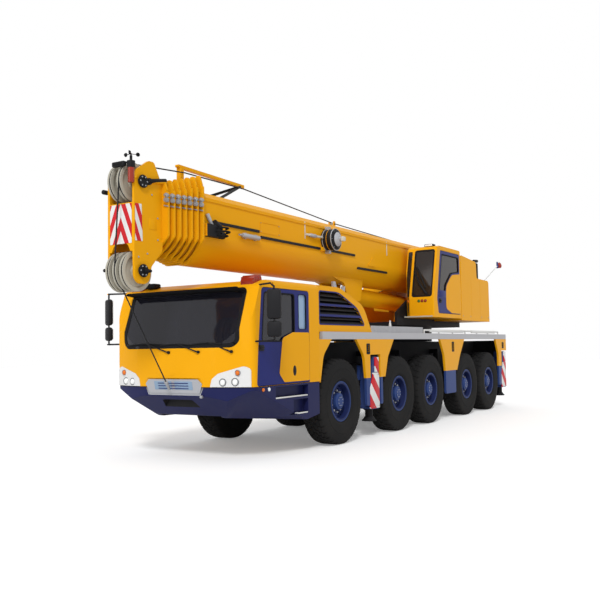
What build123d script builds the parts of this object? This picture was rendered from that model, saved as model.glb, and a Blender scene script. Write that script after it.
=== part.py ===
"""Five-axle mobile crane with a seven-part telescopic boom, stored for the road.

Frame: +X forward, +Y to the vehicle's left, +Z up, origin on the ground under the middle of
the whole crane. Millimetres.
"""
from build123d import *
import os

os.makedirs("parts", exist_ok=True)

# ---------------------------------------------------------------- driving dimensions
BODY_HALF_WIDTH = 1375.0
AXLE_HEIGHT = 745.0
REAR_X = -6800.0
HEAD_X = 6800.0

# axle number, X, steered
AXLES = (
    (1, 2700.0, True),
    (2, 300.0, True),
    (3, -1350.0, False),
    (4, -3600.0, True),
    (5, -5250.0, True),
)
SIDES = (("left", 1.0), ("right", -1.0))

# wheel
TYRE_RADIUS = 745.0
TYRE_CENTRE_Y = 1160.0
TYRE_HALF_WIDTH = 215.0
TREAD_HALF_WIDTH = 165.0
RIM_RADIUS = 318.0
RIM_FLANGE_RADIUS = 352.0
RIM_HALF_WIDTH = 178.0
RIM_WALL = 14.0
RIM_LIP = 13.0
DISC_RADIUS = 250.0
HUB_RADIUS = 150.0
HUB_NOSE = 172.0
HAND_HOLE_COUNT = 10
HAND_HOLE_RADIUS = 26.0
HAND_HOLE_CIRCLE = 222.0
SPINDLE_RADIUS = 70.0
SPINDLE_END_Y = 1288.0
BRAKE_RADIUS = 230.0
BRAKE_Y = (1035.0, 1125.0)
RUNNING_GAP = 0.1

# steering knuckle
KINGPIN_Y = 930.0
KINGPIN_RADIUS = 35.0
KNUCKLE_RADIUS = 90.0
KNUCKLE_HALF_HEIGHT = 147.0
FORK_THICKNESS = 60.0

# carrier
CHASSIS_HALF_WIDTH = 430.0
CHASSIS_BOTTOM = 960.0
CHASSIS_TOP = 1790.0
DECK_TOP = 1960.0
DECK_EDGE = 1830.0
SIDE_PANEL = 50.0
SILL_Z = 1110.0

# outriggers: name, X of the pair's middle
OUTRIGGER_SETS = (("front", 1400.0), ("rear", -6500.0))
BEAM_WIDTH = 180.0
BEAM_HEIGHT = 280.0
BEAM_Z = 1200.0
BEAM_PITCH = 200.0
BEAM_GAP = 8.0
HOUSING_WALL = 22.0
HOUSING_HALF_Y = 1080.0
JACK_BOX_HALF = 150.0
JACK_Y = 1215.0
JACK_RADIUS = 75.0
JACK_FOOT_RADIUS = 140.0
JACK_FOOT_Z = 290.0

# driver's cab
CAB_REAR_X = 3470.0
CAB_WALL = 60.0
CAB_FLOOR_Z = 1130.0
CAB_ROOF_Z = 2750.0
CAB_FRONT_X = 5604.0
CAB_FRONT_BOW = 250.0
DOOR_GAP = 8.0
MIRROR_X = 5300.0
MIRROR_Y = 1695.0

# superstructure
SLEW_X = -2500.0
RING_RADIUS = 850.0
RING_SPLIT_Z = 2050.0
UPPER_FLOOR_Z = 2160.0
CHEEK_Y = 560.0
CHEEK_PLATE = 50.0
DRUM_X = -4880.0
DRUM_Z = 2560.0
DRUM_RADIUS = 230.0
DRUM_FLANGE_RADIUS = 300.0

# boom
BOOM_PIVOT_X = -4600.0
BOOM_PIVOT_Z = 3350.0
PIVOT_PIN_RADIUS = 80.0
BOOM_HALF_WIDTH = 470.0
BOOM_BOTTOM_Z = 3010.0
BOOM_TOP_Z = 4130.0
BOOM_REAR_X = -4900.0
BOOM_COLLAR_X = 5480.0
BOOM_WALL = 12.0
SECTION_STEP = 28.0
SECTION_COUNT = 6
COLLAR_PITCH = 100.0
COLLAR_PLATE = 35.0
COLLAR_RIM = 75.0
SHEAVE_RADIUS = 290.0
SHEAVE_WIDTH = 70.0
SHEAVE_X = HEAD_X - SHEAVE_RADIUS
UPPER_SHEAVE_Z = 4110.0
LOWER_SHEAVE_Z = 2825.0
HEAD_PLATE_Y = (220.0, 260.0)
GAUGE_X = 6700.0

# luffing cylinder
CYL_FOOT_X = -3300.0
CYL_FOOT_Z = 2700.0
CYL_FOOT_PIN = 60.0
CYL_EYE_X = 100.0
CYL_EYE_Z = 2800.0
CYL_EYE_BORE = 70.0
BARREL_RADIUS = 190.0
ROD_RADIUS = 130.0


# ---------------------------------------------------------------- helpers
def side_plane(y):
    """Plane whose local x is +X and local y is +Z, with its normal towards -Y."""
    return Plane(origin=(0, y, 0), x_dir=(1, 0, 0), z_dir=(0, -1, 0))


def cross_plane(x):
    """Plane whose local x is +Y and local y is +Z, with its normal towards +X."""
    return Plane(origin=(x, 0, 0), x_dir=(0, 1, 0), z_dir=(1, 0, 0))


def span(x0, x1, y0, y1, z0, z1, mode=Mode.ADD):
    """Box between two corners."""
    middle = ((x0 + x1) / 2, (y0 + y1) / 2, (z0 + z1) / 2)
    with Locations(middle):
        Box(abs(x1 - x0), abs(y1 - y0), abs(z1 - z0), mode=mode)


def rod(start, end, radius, mode=Mode.ADD):
    """Round bar from one point to another."""
    axis = Vector(*end) - Vector(*start)
    with Locations(Plane(origin=start, z_dir=axis)):
        Cylinder(radius, axis.length, align=(Align.CENTER, Align.CENTER, Align.MIN), mode=mode)


def taper(start, end, start_radius, end_radius):
    """Cone frustum from one point to another."""
    axis = Vector(*end) - Vector(*start)
    with Locations(Plane(origin=start, z_dir=axis)):
        Cone(
            start_radius, end_radius, axis.length,
            align=(Align.CENTER, Align.CENTER, Align.MIN),
        )


def face_of(plane, corners, grow=0.0):
    """Face on a plane from corners (x, y) or (x, y, rounding), grown or shrunk all round."""
    points = [corner[:2] for corner in corners]
    roundings = [corner[2] if len(corner) > 2 else 0 for corner in corners]
    with BuildSketch(plane) as profile:
        with BuildLine():
            FilletPolyline(*points, radius=roundings, close=True)
        make_face()
        if grow:
            offset(amount=grow, mode=Mode.REPLACE)
    return profile.sketch


def outline(plane, corners, depth, mode=Mode.ADD, both=False, grow=0.0):
    """Extrude an outline of corners (x, y) or (x, y, rounding) from a plane."""
    extrude(face_of(plane, corners, grow), amount=depth, both=both, mode=mode)


def save(part, name):
    """Label one piece and write it."""
    part.label = name
    export_step(part, f"parts/{name}.step")


# ---------------------------------------------------------------- wheels and steering
def wheel_plane(x, side):
    """Plane through a wheel's centre: local x points outboard."""
    return Plane(
        origin=(x, side * TYRE_CENTRE_Y, AXLE_HEIGHT),
        x_dir=(0, side, 0),
        z_dir=(1, 0, 0),
    )


BEAD = RIM_HALF_WIDTH - RIM_LIP
TYRE_PROFILE = (
    (-BEAD, RIM_RADIUS),
    (-BEAD, RIM_FLANGE_RADIUS + 8),
    (-TYRE_HALF_WIDTH + 12, 440.0),
    (-TYRE_HALF_WIDTH, 530.0),
    (-TYRE_HALF_WIDTH + 6, 630.0),
    (-TYRE_HALF_WIDTH + 26, 712.0),
    (-TREAD_HALF_WIDTH, TYRE_RADIUS),
    (TREAD_HALF_WIDTH, TYRE_RADIUS),
    (TYRE_HALF_WIDTH - 26, 712.0),
    (TYRE_HALF_WIDTH - 6, 630.0),
    (TYRE_HALF_WIDTH, 530.0),
    (TYRE_HALF_WIDTH - 12, 440.0),
    (BEAD, RIM_FLANGE_RADIUS + 8),
    (BEAD, RIM_RADIUS),
)

RIM_PROFILE = (
    (-RIM_HALF_WIDTH, RIM_RADIUS - RIM_WALL),
    (-RIM_HALF_WIDTH, RIM_FLANGE_RADIUS),
    (-BEAD, RIM_FLANGE_RADIUS),
    (-BEAD, RIM_RADIUS),
    (BEAD, RIM_RADIUS),
    (BEAD, RIM_FLANGE_RADIUS),
    (RIM_HALF_WIDTH, RIM_FLANGE_RADIUS),
    (RIM_HALF_WIDTH, RIM_RADIUS - RIM_WALL),
    (60.0, RIM_RADIUS - RIM_WALL),
    (84.0, DISC_RADIUS),
    (70.0, HUB_RADIUS),
    (150.0, HUB_RADIUS - 8),
    (HUB_NOSE - 12, 104.0),
    (HUB_NOSE, 96.0),
    (HUB_NOSE, 0.0),
    (SPINDLE_END_Y - TYRE_CENTRE_Y + 2, 0.0),
    (SPINDLE_END_Y - TYRE_CENTRE_Y + 2, SPINDLE_RADIUS + RUNNING_GAP),
    (20.0, SPINDLE_RADIUS + RUNNING_GAP),
    (20.0, HUB_RADIUS),
    (46.0, HUB_RADIUS),
    (59.0, DISC_RADIUS),
    (35.0, RIM_RADIUS - RIM_WALL),
)

for number, axle_x, steered in AXLES:
    for side_name, side in SIDES:
        centre = (axle_x, side * TYRE_CENTRE_Y, AXLE_HEIGHT)
        turning = Axis(centre, (0, 1, 0))
        with BuildPart() as tyre:
            revolve(face_of(wheel_plane(axle_x, side), TYRE_PROFILE), axis=turning)
        save(tyre.part, f"tyre_{number}_{side_name}")

        with BuildPart() as rim:
            revolve(face_of(wheel_plane(axle_x, side), RIM_PROFILE), axis=turning)
            with Locations(Plane(origin=centre, x_dir=(1, 0, 0), z_dir=(0, side, 0))):
                with PolarLocations(HAND_HOLE_CIRCLE, HAND_HOLE_COUNT):
                    Cylinder(HAND_HOLE_RADIUS, 400, mode=Mode.SUBTRACT)
        save(rim.part, f"rim_{number}_{side_name}")

        if steered:
            pin_centre = (axle_x, side * KINGPIN_Y, AXLE_HEIGHT)
            with BuildPart() as knuckle:
                with Locations(pin_centre):
                    Cylinder(KNUCKLE_RADIUS, 2 * KNUCKLE_HALF_HEIGHT)
                    Cylinder(KINGPIN_RADIUS, 2 * (KNUCKLE_HALF_HEIGHT + FORK_THICKNESS + 5))
                rod(pin_centre, (axle_x, side * SPINDLE_END_Y, AXLE_HEIGHT), SPINDLE_RADIUS)
                rod(
                    (axle_x, side * BRAKE_Y[0], AXLE_HEIGHT),
                    (axle_x, side * BRAKE_Y[1], AXLE_HEIGHT),
                    BRAKE_RADIUS,
                )
            save(knuckle.part, f"knuckle_{number}_{side_name}")

# ---------------------------------------------------------------- axle beams with springs
SPRING_Y = 560.0
DIFFERENTIAL_RADIUS = 200.0
with BuildPart() as axles:
    for _, axle_x, steered in AXLES:
        beam_end = KINGPIN_Y - KNUCKLE_RADIUS - 10 if steered else BRAKE_Y[0]
        span(axle_x - 80, axle_x + 80, -beam_end, beam_end, AXLE_HEIGHT - 90, AXLE_HEIGHT + 90)
        rod((axle_x, -110, AXLE_HEIGHT), (axle_x, 110, AXLE_HEIGHT), DIFFERENTIAL_RADIUS)
        for _, side in SIDES:
            taper(
                (axle_x, side * 110, AXLE_HEIGHT), (axle_x, side * 330, AXLE_HEIGHT),
                DIFFERENTIAL_RADIUS, 105,
            )
            rod(
                (axle_x, side * SPRING_Y, AXLE_HEIGHT),
                (axle_x, side * SPRING_Y, CHASSIS_TOP - 290),
                62.0,
            )
            if steered:
                inner = side * (KINGPIN_Y - 175)
                outer = side * (KINGPIN_Y + 60)
                for level in (1, -1):
                    near = AXLE_HEIGHT + level * (KNUCKLE_HALF_HEIGHT + 3)
                    far = near + level * (FORK_THICKNESS - 3)
                    span(axle_x - 70, axle_x + 70, inner, outer, near, far)
                    span(axle_x - 70, axle_x + 70, inner, side * beam_end, AXLE_HEIGHT, far)
                with Locations((axle_x, side * KINGPIN_Y, AXLE_HEIGHT)):
                    Cylinder(KINGPIN_RADIUS + RUNNING_GAP, 500, mode=Mode.SUBTRACT)
            else:
                hub_start = (axle_x, side * BRAKE_Y[0], AXLE_HEIGHT)
                rod(hub_start, (axle_x, side * BRAKE_Y[1], AXLE_HEIGHT), BRAKE_RADIUS)
                rod(hub_start, (axle_x, side * SPINDLE_END_Y, AXLE_HEIGHT), SPINDLE_RADIUS)
save(axles.part, "axles")

# ---------------------------------------------------------------- chassis frame
ENGINE_BLOCK = (2150.0, 3040.0, 400.0, 2450.0)
TOW_PIN_Z = 1060.0
TOW_PIN_RADIUS = 60.0
REAR_PLATE_X = -6760.0
with BuildPart() as chassis:
    half = CHASSIS_HALF_WIDTH
    span(-6300, 3050, -half, half, CHASSIS_BOTTOM, CHASSIS_TOP)
    span(3050, 5100, -half, half, CHASSIS_BOTTOM, CAB_FLOOR_Z - 10)
    for _, axle_x, _ in AXLES:
        for _, side in SIDES:
            span(axle_x - 80, axle_x + 80, side * half, side * (SPRING_Y + 80), 1500, 1600)
    for _, middle in OUTRIGGER_SETS:
        half_x = BEAM_PITCH / 2 + BEAM_WIDTH / 2 + BEAM_GAP + HOUSING_WALL
        half_z = BEAM_HEIGHT / 2 + BEAM_GAP + HOUSING_WALL
        span(
            middle - half_x, middle + half_x, -HOUSING_HALF_Y, HOUSING_HALF_Y,
            BEAM_Z - half_z, BEAM_Z + half_z,
        )
        for shift in (BEAM_PITCH / 2, -BEAM_PITCH / 2):
            with Locations((middle + shift, 0, BEAM_Z)):
                Box(
                    BEAM_WIDTH + 2 * BEAM_GAP,
                    2 * HOUSING_HALF_Y + 2,
                    BEAM_HEIGHT + 2 * BEAM_GAP,
                    mode=Mode.SUBTRACT,
                )
    # slewing ring base, engine block between the rails, rear cross plate and towing pin
    with Locations((SLEW_X, 0, (CHASSIS_TOP + RING_SPLIT_Z - 5) / 2)):
        Cylinder(RING_RADIUS, RING_SPLIT_Z - 5 - CHASSIS_TOP)
    engine_rear, engine_front, engine_half, engine_top = ENGINE_BLOCK
    span(engine_rear, engine_front, -engine_half, engine_half, CHASSIS_TOP, engine_top)
    span(REAR_PLATE_X, REAR_PLATE_X + 30, -1200, 1200, 980, 1800)
    span(REAR_PLATE_X + 30, -6300, -half, half, 1400, CHASSIS_TOP)
    rod((REAR_X, 0, TOW_PIN_Z), (REAR_PLATE_X, 0, TOW_PIN_Z), TOW_PIN_RADIUS)
save(chassis.part, "chassis_frame")

# ---------------------------------------------------------------- outriggers
for set_name, middle in OUTRIGGER_SETS:
    for side_name, side in SIDES:
        beam_x = middle + side * BEAM_PITCH / 2
        jack_y = side * JACK_Y
        tip_y = side * 1130.0
        with BuildPart() as beam:
            root_y = -side * 1060.0
            with Locations((beam_x, (root_y + tip_y) / 2, BEAM_Z)):
                Box(BEAM_WIDTH, abs(tip_y - root_y), BEAM_HEIGHT)
            outline(
                side_plane(side * 1360.0),
                (
                    (middle - JACK_BOX_HALF, 520, 30),
                    (middle + JACK_BOX_HALF, 520, 30),
                    (middle + JACK_BOX_HALF - 20, 1200, 200),
                    (middle + JACK_BOX_HALF - 80, 1500, 30),
                    (middle - JACK_BOX_HALF + 80, 1500, 30),
                    (middle - JACK_BOX_HALF + 20, 1200, 200),
                ),
                side * 250.0,
            )
            rod(
                (middle, jack_y, 519), (middle, jack_y, 1440), JACK_RADIUS + 1.0,
                mode=Mode.SUBTRACT,
            )
        save(beam.part, f"outrigger_beam_{set_name}_{side_name}")
        with BuildPart() as jack:
            rod((middle, jack_y, JACK_FOOT_Z), (middle, jack_y, 1420), JACK_RADIUS)
            rod(
                (middle, jack_y, JACK_FOOT_Z), (middle, jack_y, JACK_FOOT_Z + 22),
                JACK_FOOT_RADIUS,
            )
            taper(
                (middle, jack_y, JACK_FOOT_Z + 22), (middle, jack_y, JACK_FOOT_Z + 90),
                JACK_FOOT_RADIUS - 12, JACK_RADIUS + 4,
            )
        save(jack.part, f"outrigger_jack_{set_name}_{side_name}")

# ---------------------------------------------------------------- driver's cab
CAB_SIDE = (
    (CAB_REAR_X, CAB_FLOOR_Z),
    (5572, CAB_FLOOR_Z, 20),
    (CAB_FRONT_X, 1330, 300),
    (5535, 1690, 300),
    (5185, 2660, 80),
    (4960, 2738, 90),
    (CAB_REAR_X, CAB_ROOF_Z),
)
CAB_CROSS = (
    (-BODY_HALF_WIDTH, CAB_FLOOR_Z),
    (BODY_HALF_WIDTH, CAB_FLOOR_Z),
    (BODY_HALF_WIDTH, CAB_ROOF_Z, 100),
    (-BODY_HALF_WIDTH, CAB_ROOF_Z, 100),
)
CAB_CORNER_ROUNDING = 100.0
DOOR_OPENING = (
    (3790, 1132, 30),
    (5290, 1132, 50),
    (5246, 1700),
    (5146, 2618, 80),
    (3790, 2618, 60),
)
DOOR_WINDOW = ((4230, 1790, 60), (5165, 1790, 60), (5085, 2550, 60), (4230, 2550, 50))
QUARTER_WINDOW = ((3880, 1990, 30), (4120, 1990, 30), (4120, 2550, 30), (3880, 2550, 50))
REAR_WINDOW = ((-700, 2000, 60), (700, 2000, 60), (700, 2500, 60), (-700, 2500, 60))
WINDSCREEN = (
    (-1165, 1800, 130),
    (-1060, 1715, 150),
    (1060, 1715, 150),
    (1165, 1800, 130),
    (1165, 2620, 90),
    (-1165, 2620, 90),
)
# headlamp panel beside each front corner, and the lamps on it: y, z, radius
LAMP_PANEL = (
    (1330, 1131),
    (700, 1131),
    (730, 1250, 60),
    (830, 1330, 60),
    (1230, 1440, 90),
    (1330, 1400, 60),
)
# lamp pockets: y, z, radius, x of the pocket's floor
HEADLAMPS = ((905, 1200, 58, 5480), (1095, 1205, 60, 5430), (1140, 1345, 38, 5425))
GRILLE_RECESS = (
    (-520, 1000, 20),
    (520, 1000, 20),
    (600, 1175, 20),
    (520, 1262, 40),
    (-520, 1262, 40),
    (-600, 1175, 20),
)
BEACON = ((4930, 2720), (5165, 2640), (5175, 2725, 30), (5110, 2805, 25), (4960, 2812, 25))
MIRRORS = ((1860.0, 2090.0), (2120.0, 2560.0))
DOOR_SKIN = (
    (3810, 1165, 30),
    (4560, 1165, 60),
    (4700, 1300, 60),
    (4600, 1850, 90),
    (4300, 1940, 60),
    (3810, 1940, 30),
)


def bowed_plan(shrink):
    """Cab plan with a bowed front and rounded front corners."""
    half_width = BODY_HALF_WIDTH - shrink
    corner_x = CAB_FRONT_X - shrink - CAB_FRONT_BOW
    with BuildSketch(Plane.XY.offset(CAB_FLOOR_Z - 20)) as plan:
        with BuildLine():
            Line((CAB_REAR_X, half_width), (CAB_REAR_X, -half_width))
            Line((CAB_REAR_X, -half_width), (corner_x, -half_width))
            ThreePointArc(
                (corner_x, -half_width), (CAB_FRONT_X - shrink, 0), (corner_x, half_width)
            )
            Line((corner_x, half_width), (CAB_REAR_X, half_width))
        make_face()
        fillet(plan.vertices().group_by(Axis.X)[-1], radius=CAB_CORNER_ROUNDING)
    return plan.sketch


def cab_block(shrink):
    """Cab volume drawn in by an amount: side view, bowed plan and rounded roof together."""
    with BuildPart() as block:
        side_view = face_of(side_plane(0), CAB_SIDE, -shrink)
        extrude(side_view, amount=BODY_HALF_WIDTH - shrink, both=True)
        extrude(bowed_plan(shrink), amount=1800, mode=Mode.INTERSECT)
        cross_view = face_of(cross_plane(CAB_REAR_X), CAB_CROSS, -shrink)
        extrude(cross_view, amount=2400, mode=Mode.INTERSECT)
    return block.part


def skin_between(outer, inner, corners):
    """Skin between two cab volumes, kept only inside a front-view outline."""
    with BuildPart() as skin:
        add(outer)
        add(inner, mode=Mode.SUBTRACT)
        outline(cross_plane(4900), corners, 900, mode=Mode.INTERSECT)
    return skin.part


def mirrored(corners):
    """Front-view outline reflected to the other side."""
    return tuple((-corner[0], *corner[1:]) for corner in reversed(corners))


cab_outside = cab_block(0)
cab_proud = cab_block(-8)
cab_core = cab_block(2)
lamp_panels = [skin_between(cab_proud, cab_core, mirrored(LAMP_PANEL))]
lamp_panels.append(skin_between(cab_proud, cab_core, LAMP_PANEL))
cab_inside = cab_block(CAB_WALL)

with BuildPart() as cab:
    add(cab_outside)
    add(cab_inside, mode=Mode.SUBTRACT)
    outline(side_plane(0), DOOR_OPENING, BODY_HALF_WIDTH + 10, mode=Mode.SUBTRACT, both=True)
    outline(cross_plane(4900), WINDSCREEN, 900, mode=Mode.SUBTRACT)
    outline(cross_plane(CAB_REAR_X - 5), REAR_WINDOW, CAB_WALL + 10, mode=Mode.SUBTRACT)
    for panel in lamp_panels:
        add(panel)
    outline(cross_plane(5560), GRILLE_RECESS, 100, mode=Mode.SUBTRACT)
    for _, side in SIDES:
        # lamp pockets in the panel
        for lamp_y, lamp_z, radius, back_x in HEADLAMPS:
            rod(
                (back_x, side * lamp_y, lamp_z), (5700, side * lamp_y, lamp_z), radius,
                mode=Mode.SUBTRACT,
            )
        # beacon on the roof corner, mirrors on arms from the front pillar
        outline(side_plane(side * 1240), BEACON, side * 230)
        rod((MIRROR_X, side * 1690, 1760), (MIRROR_X, side * 1690, 2680), 15)
        rod((5160, side * 1320, 2645), (MIRROR_X, side * 1690, 2645), 11)
        rod((MIRROR_X + 10, side * 1330, 1800), (MIRROR_X, side * 1690, 1800), 11)
        for low, high in MIRRORS:
            outline(
                Plane.XY.offset(low),
                (
                    (MIRROR_X - 40, side * MIRROR_Y - 105, 34),
                    (MIRROR_X + 40, side * MIRROR_Y - 105, 34),
                    (MIRROR_X + 40, side * MIRROR_Y + 105, 34),
                    (MIRROR_X - 40, side * MIRROR_Y + 105, 34),
                ),
                high - low,
            )
save(cab.part, "driver_cab")

glass = skin_between(cab_block(10), cab_block(34), WINDSCREEN)
save(glass, "cab_glass")

for side_name, side in SIDES:
    with BuildPart() as door:
        outline(
            side_plane(side * BODY_HALF_WIDTH), DOOR_OPENING, side * CAB_WALL, grow=-DOOR_GAP
        )
        for pane in (DOOR_WINDOW, QUARTER_WINDOW):
            outline(
                side_plane(side * (BODY_HALF_WIDTH + 1)), pane, side * (CAB_WALL + 2),
                mode=Mode.SUBTRACT,
            )
        # raised skin over the rear lower half, with the lock's oval pocket
        outline(side_plane(side * (BODY_HALF_WIDTH + 6)), DOOR_SKIN, side * 12)
        with Locations(Plane(origin=(4260, side * BODY_HALF_WIDTH, 1330), z_dir=(0, side, 0))):
            Cylinder(42, 40, mode=Mode.SUBTRACT)
    save(door.part, f"{side_name}_door")

# ---------------------------------------------------------------- engine hood
HOOD_HALF_WIDTH = 1330.0
HOOD_SIDE = (
    (3460, DECK_TOP),
    (3460, 2745, 20),
    (2670, 2745, 900),
    (1760, 2450, 500),
    (1430, DECK_TOP),
)
GRILLE = (
    (3390, 2075, 40),
    (3390, 2660, 50),
    (2700, 2660, 700),
    (2000, 2400, 400),
    (1700, 2075, 40),
)
GRILLE_BARS = (2240.0, 2420.0)
LOUVRE_COUNT = 7
LOUVRE_FIRST_Z = 2095.0
LOUVRE_PITCH = 78.0


def louvre_bank(side):
    """Sloping blades and two face bars on one side, trimmed to the grille's outline."""
    with BuildPart() as bank:
        for index in range(LOUVRE_COUNT):
            low = LOUVRE_FIRST_Z + index * LOUVRE_PITCH
            outline(
                cross_plane(1600),
                (
                    (side * 1312, low),
                    (side * 1312, low + 14),
                    (side * 1274, low + 54),
                    (side * 1274, low + 40),
                ),
                1850,
            )
        for bar_z in GRILLE_BARS:
            face_y = side * HOOD_HALF_WIDTH
            span(1600, 3450, face_y, face_y - side * 30, bar_z - 18, bar_z + 18)
        outline(side_plane(0), GRILLE, 1400, mode=Mode.INTERSECT, both=True, grow=3)
    return bank.part


louvre_banks = [louvre_bank(side) for _, side in SIDES]
with BuildPart() as hood:
    outline(side_plane(0), HOOD_SIDE, HOOD_HALF_WIDTH, both=True)
    outline(
        side_plane(0), HOOD_SIDE, HOOD_HALF_WIDTH - CAB_WALL, mode=Mode.SUBTRACT, both=True,
        grow=-CAB_WALL,
    )
    span(1530, 3390, -1270, 1270, DECK_TOP - 1, DECK_TOP + 100, mode=Mode.SUBTRACT)
    outline(side_plane(0), GRILLE, 1400, mode=Mode.SUBTRACT, both=True)
    for bank in louvre_banks:
        add(bank)
save(hood.part, "engine_hood")

# ---------------------------------------------------------------- decks and boom rest
RIB_STRIP = (-1100.0, 1380.0)
RIB_PITCH = 62.0
RIB_COUNT = 40
RAIL_POSTS = (-1150.0, -2000.0, -2850.0, -3700.0, -4550.0, -5400.0, -6250.0)
RAIL_Z = 2030.0
BOOM_REST = (
    (820, DECK_TOP - 10),
    (1380, DECK_TOP - 10),
    (1270, 2700),
    (1310, 2995),
    (1220, 2995),
    (1120, 2780, 40),
    (980, 2780, 40),
    (900, 2920),
    (820, 2920),
    (850, 2660),
)
with BuildPart() as decks:
    for _, side in SIDES:
        edge = side * BODY_HALF_WIDTH
        span(-6720, 3360, edge, edge - side * 60, DECK_EDGE, DECK_TOP)
        span(-6720, 3360, edge - side * 60, 0, DECK_TOP - 30, DECK_TOP)
        # ribbed kick plate beside the walkway, and a low tube rail behind it
        plate_y = side * 1290
        span(RIB_STRIP[0], RIB_STRIP[1], plate_y, plate_y - side * 14, DECK_TOP - 1, 2090)
        for index in range(RIB_COUNT):
            rib_x = RIB_STRIP[0] + 20 + index * RIB_PITCH
            span(rib_x, rib_x + 26, plate_y - side, plate_y + side * 12, DECK_TOP - 1, 2082)
        rail_y = side * 1300
        rod((RAIL_POSTS[0], rail_y, RAIL_Z), (RAIL_POSTS[-1], rail_y, RAIL_Z), 20)
        for post_x in RAIL_POSTS:
            rod((post_x, rail_y, DECK_TOP - 1), (post_x, rail_y, RAIL_Z), 16)
    span(1740, 3361, -1320, 1320, DECK_TOP - 31, DECK_TOP + 1, mode=Mode.SUBTRACT)
    with Locations((SLEW_X, 0, DECK_TOP)):
        Cylinder(RING_RADIUS + 10, 100, mode=Mode.SUBTRACT)
    for _, side in SIDES:
        outline(side_plane(side * 440), BOOM_REST, side * 45)
    span(900, 1240, -440, 440, 2560, 2620)
save(decks.part, "side_decks")

# ---------------------------------------------------------------- body side panels
# wheel arches: sill rear x, rear bend, top rear x, top front x, front bend, sill front x
ARCHES = (
    (1790, (1850, 1520), 2150, 3050, (3340, 1560), 3455),
    (-2170, (-2110, 1480), -1870, 560, (840, 1500), 980),
    (-6040, (-6045, 1420), -5820, -3430, (-3120, 1460), -2900),
)
ARCH_ROUNDING = 260.0
# lower panels: rear x, front x, bottom z
SKIRTS = ((1100, 1780, 600), (-2800, -2180, 590), (-6290, -6050, 600))
# service slots in the fenders: x, bottom z, top z
FENDER_SLOTS = ((1690, 1570, 1720), (-2660, 1560, 1740), (-6420, 1600, 1720))
NOSE_SIDE = (
    (3500, 600, 20),
    (3900, 540, 200),
    (5150, 640, 200),
    (5545, 990, 60),
    (5572, CAB_FLOOR_Z - 5),
    (3500, CAB_FLOOR_Z - 5),
)
# sloping cut under each front corner of the nose: a point of it and its outward direction
NOSE_CORNER = (5350.0, 1375.0, 1100.0)
NOSE_SLOPE = (0.33, 0.45, -0.83)
NOSE_SHEET = 40.0
TOW_MOUTH = ((-420, 640), (420, 640), (300, 930, 40), (-300, 930, 40))
# steps cut into the sill: rear x, front x, bottom z, top z
STEPS = ((3860, 4300, 640, 880), (3860, 4800, 915, 1100))


def fender(side):
    """One side's upper panels between rounded wheel arches, with the blue skirts below."""
    outer_y = side * BODY_HALF_WIDTH
    proud = side_plane(outer_y + side)
    with BuildPart() as panel:
        span(-6720, 3470, outer_y, outer_y - side * SIDE_PANEL, SILL_Z, DECK_EDGE)
        for rear_x, rear_bend, top_rear, top_front, front_bend, front_x in ARCHES:
            outline(
                proud,
                (
                    (rear_x, SILL_Z - 1),
                    (*rear_bend, ARCH_ROUNDING),
                    (top_rear, DECK_EDGE + 1),
                    (top_front, DECK_EDGE + 1),
                    (*front_bend, ARCH_ROUNDING),
                    (front_x, SILL_Z - 1),
                ),
                side * 80,
                mode=Mode.SUBTRACT,
            )
        span(
            -6721, -6290, outer_y + side, outer_y - side * 80, SILL_Z - 1, 1520,
            mode=Mode.SUBTRACT,
        )
        for slot_x, low, high in FENDER_SLOTS:
            outline(
                proud,
                (
                    (slot_x - 45, low, 20),
                    (slot_x + 45, low, 20),
                    (slot_x + 45, high, 20),
                    (slot_x - 45, high, 20),
                ),
                side * 26,
                mode=Mode.SUBTRACT,
            )
        for rear_x, front_x, bottom_z in SKIRTS:
            outline(
                side_plane(outer_y),
                (
                    (rear_x, SILL_Z + 1),
                    (rear_x, bottom_z, 40),
                    (front_x, bottom_z, 40),
                    (front_x, SILL_Z + 1),
                ),
                side * SIDE_PANEL,
            )
    return panel.part


fenders = [fender(side) for _, side in SIDES]


def slope_corners(inset):
    """Cut the slope under each front corner, set back by inset."""
    for _, side in SIDES:
        corner = (NOSE_CORNER[0], side * NOSE_CORNER[1], NOSE_CORNER[2])
        slope = (NOSE_SLOPE[0], side * NOSE_SLOPE[1], NOSE_SLOPE[2])
        with Locations(Plane(origin=corner, z_dir=slope).offset(-inset)):
            Box(
                4000, 4000, 1500, align=(Align.CENTER, Align.CENTER, Align.MIN),
                mode=Mode.SUBTRACT,
            )


with BuildPart() as nose_hollow:
    span(3400, 5180, -BODY_HALF_WIDTH + 130, BODY_HALF_WIDTH - 130, 400, 1200)
    slope_corners(NOSE_SHEET)

with BuildPart() as panels:
    # front bumper and sills under the cab, open behind the nose
    outline(side_plane(0), NOSE_SIDE, BODY_HALF_WIDTH, both=True)
    extrude(
        bowed_plan(0).moved(Location((-15, 0, -700))), amount=800, mode=Mode.INTERSECT
    )
    slope_corners(0)
    add(nose_hollow.part, mode=Mode.SUBTRACT)
    outline(cross_plane(5340), TOW_MOUTH, 300, mode=Mode.SUBTRACT)
    outline(cross_plane(5530), GRILLE_RECESS, 100, mode=Mode.SUBTRACT)
    for rear_x, front_x, low, high in STEPS:
        for _, side in SIDES:
            outer_y = side * (BODY_HALF_WIDTH + 1)
            span(rear_x, front_x, outer_y, outer_y - side * 100, low, high, mode=Mode.SUBTRACT)
    for panel in fenders:
        add(panel)
    span(1190, 1610, -1400, 1400, 500, 1540, mode=Mode.SUBTRACT)
save(panels.part, "side_panels")

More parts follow.
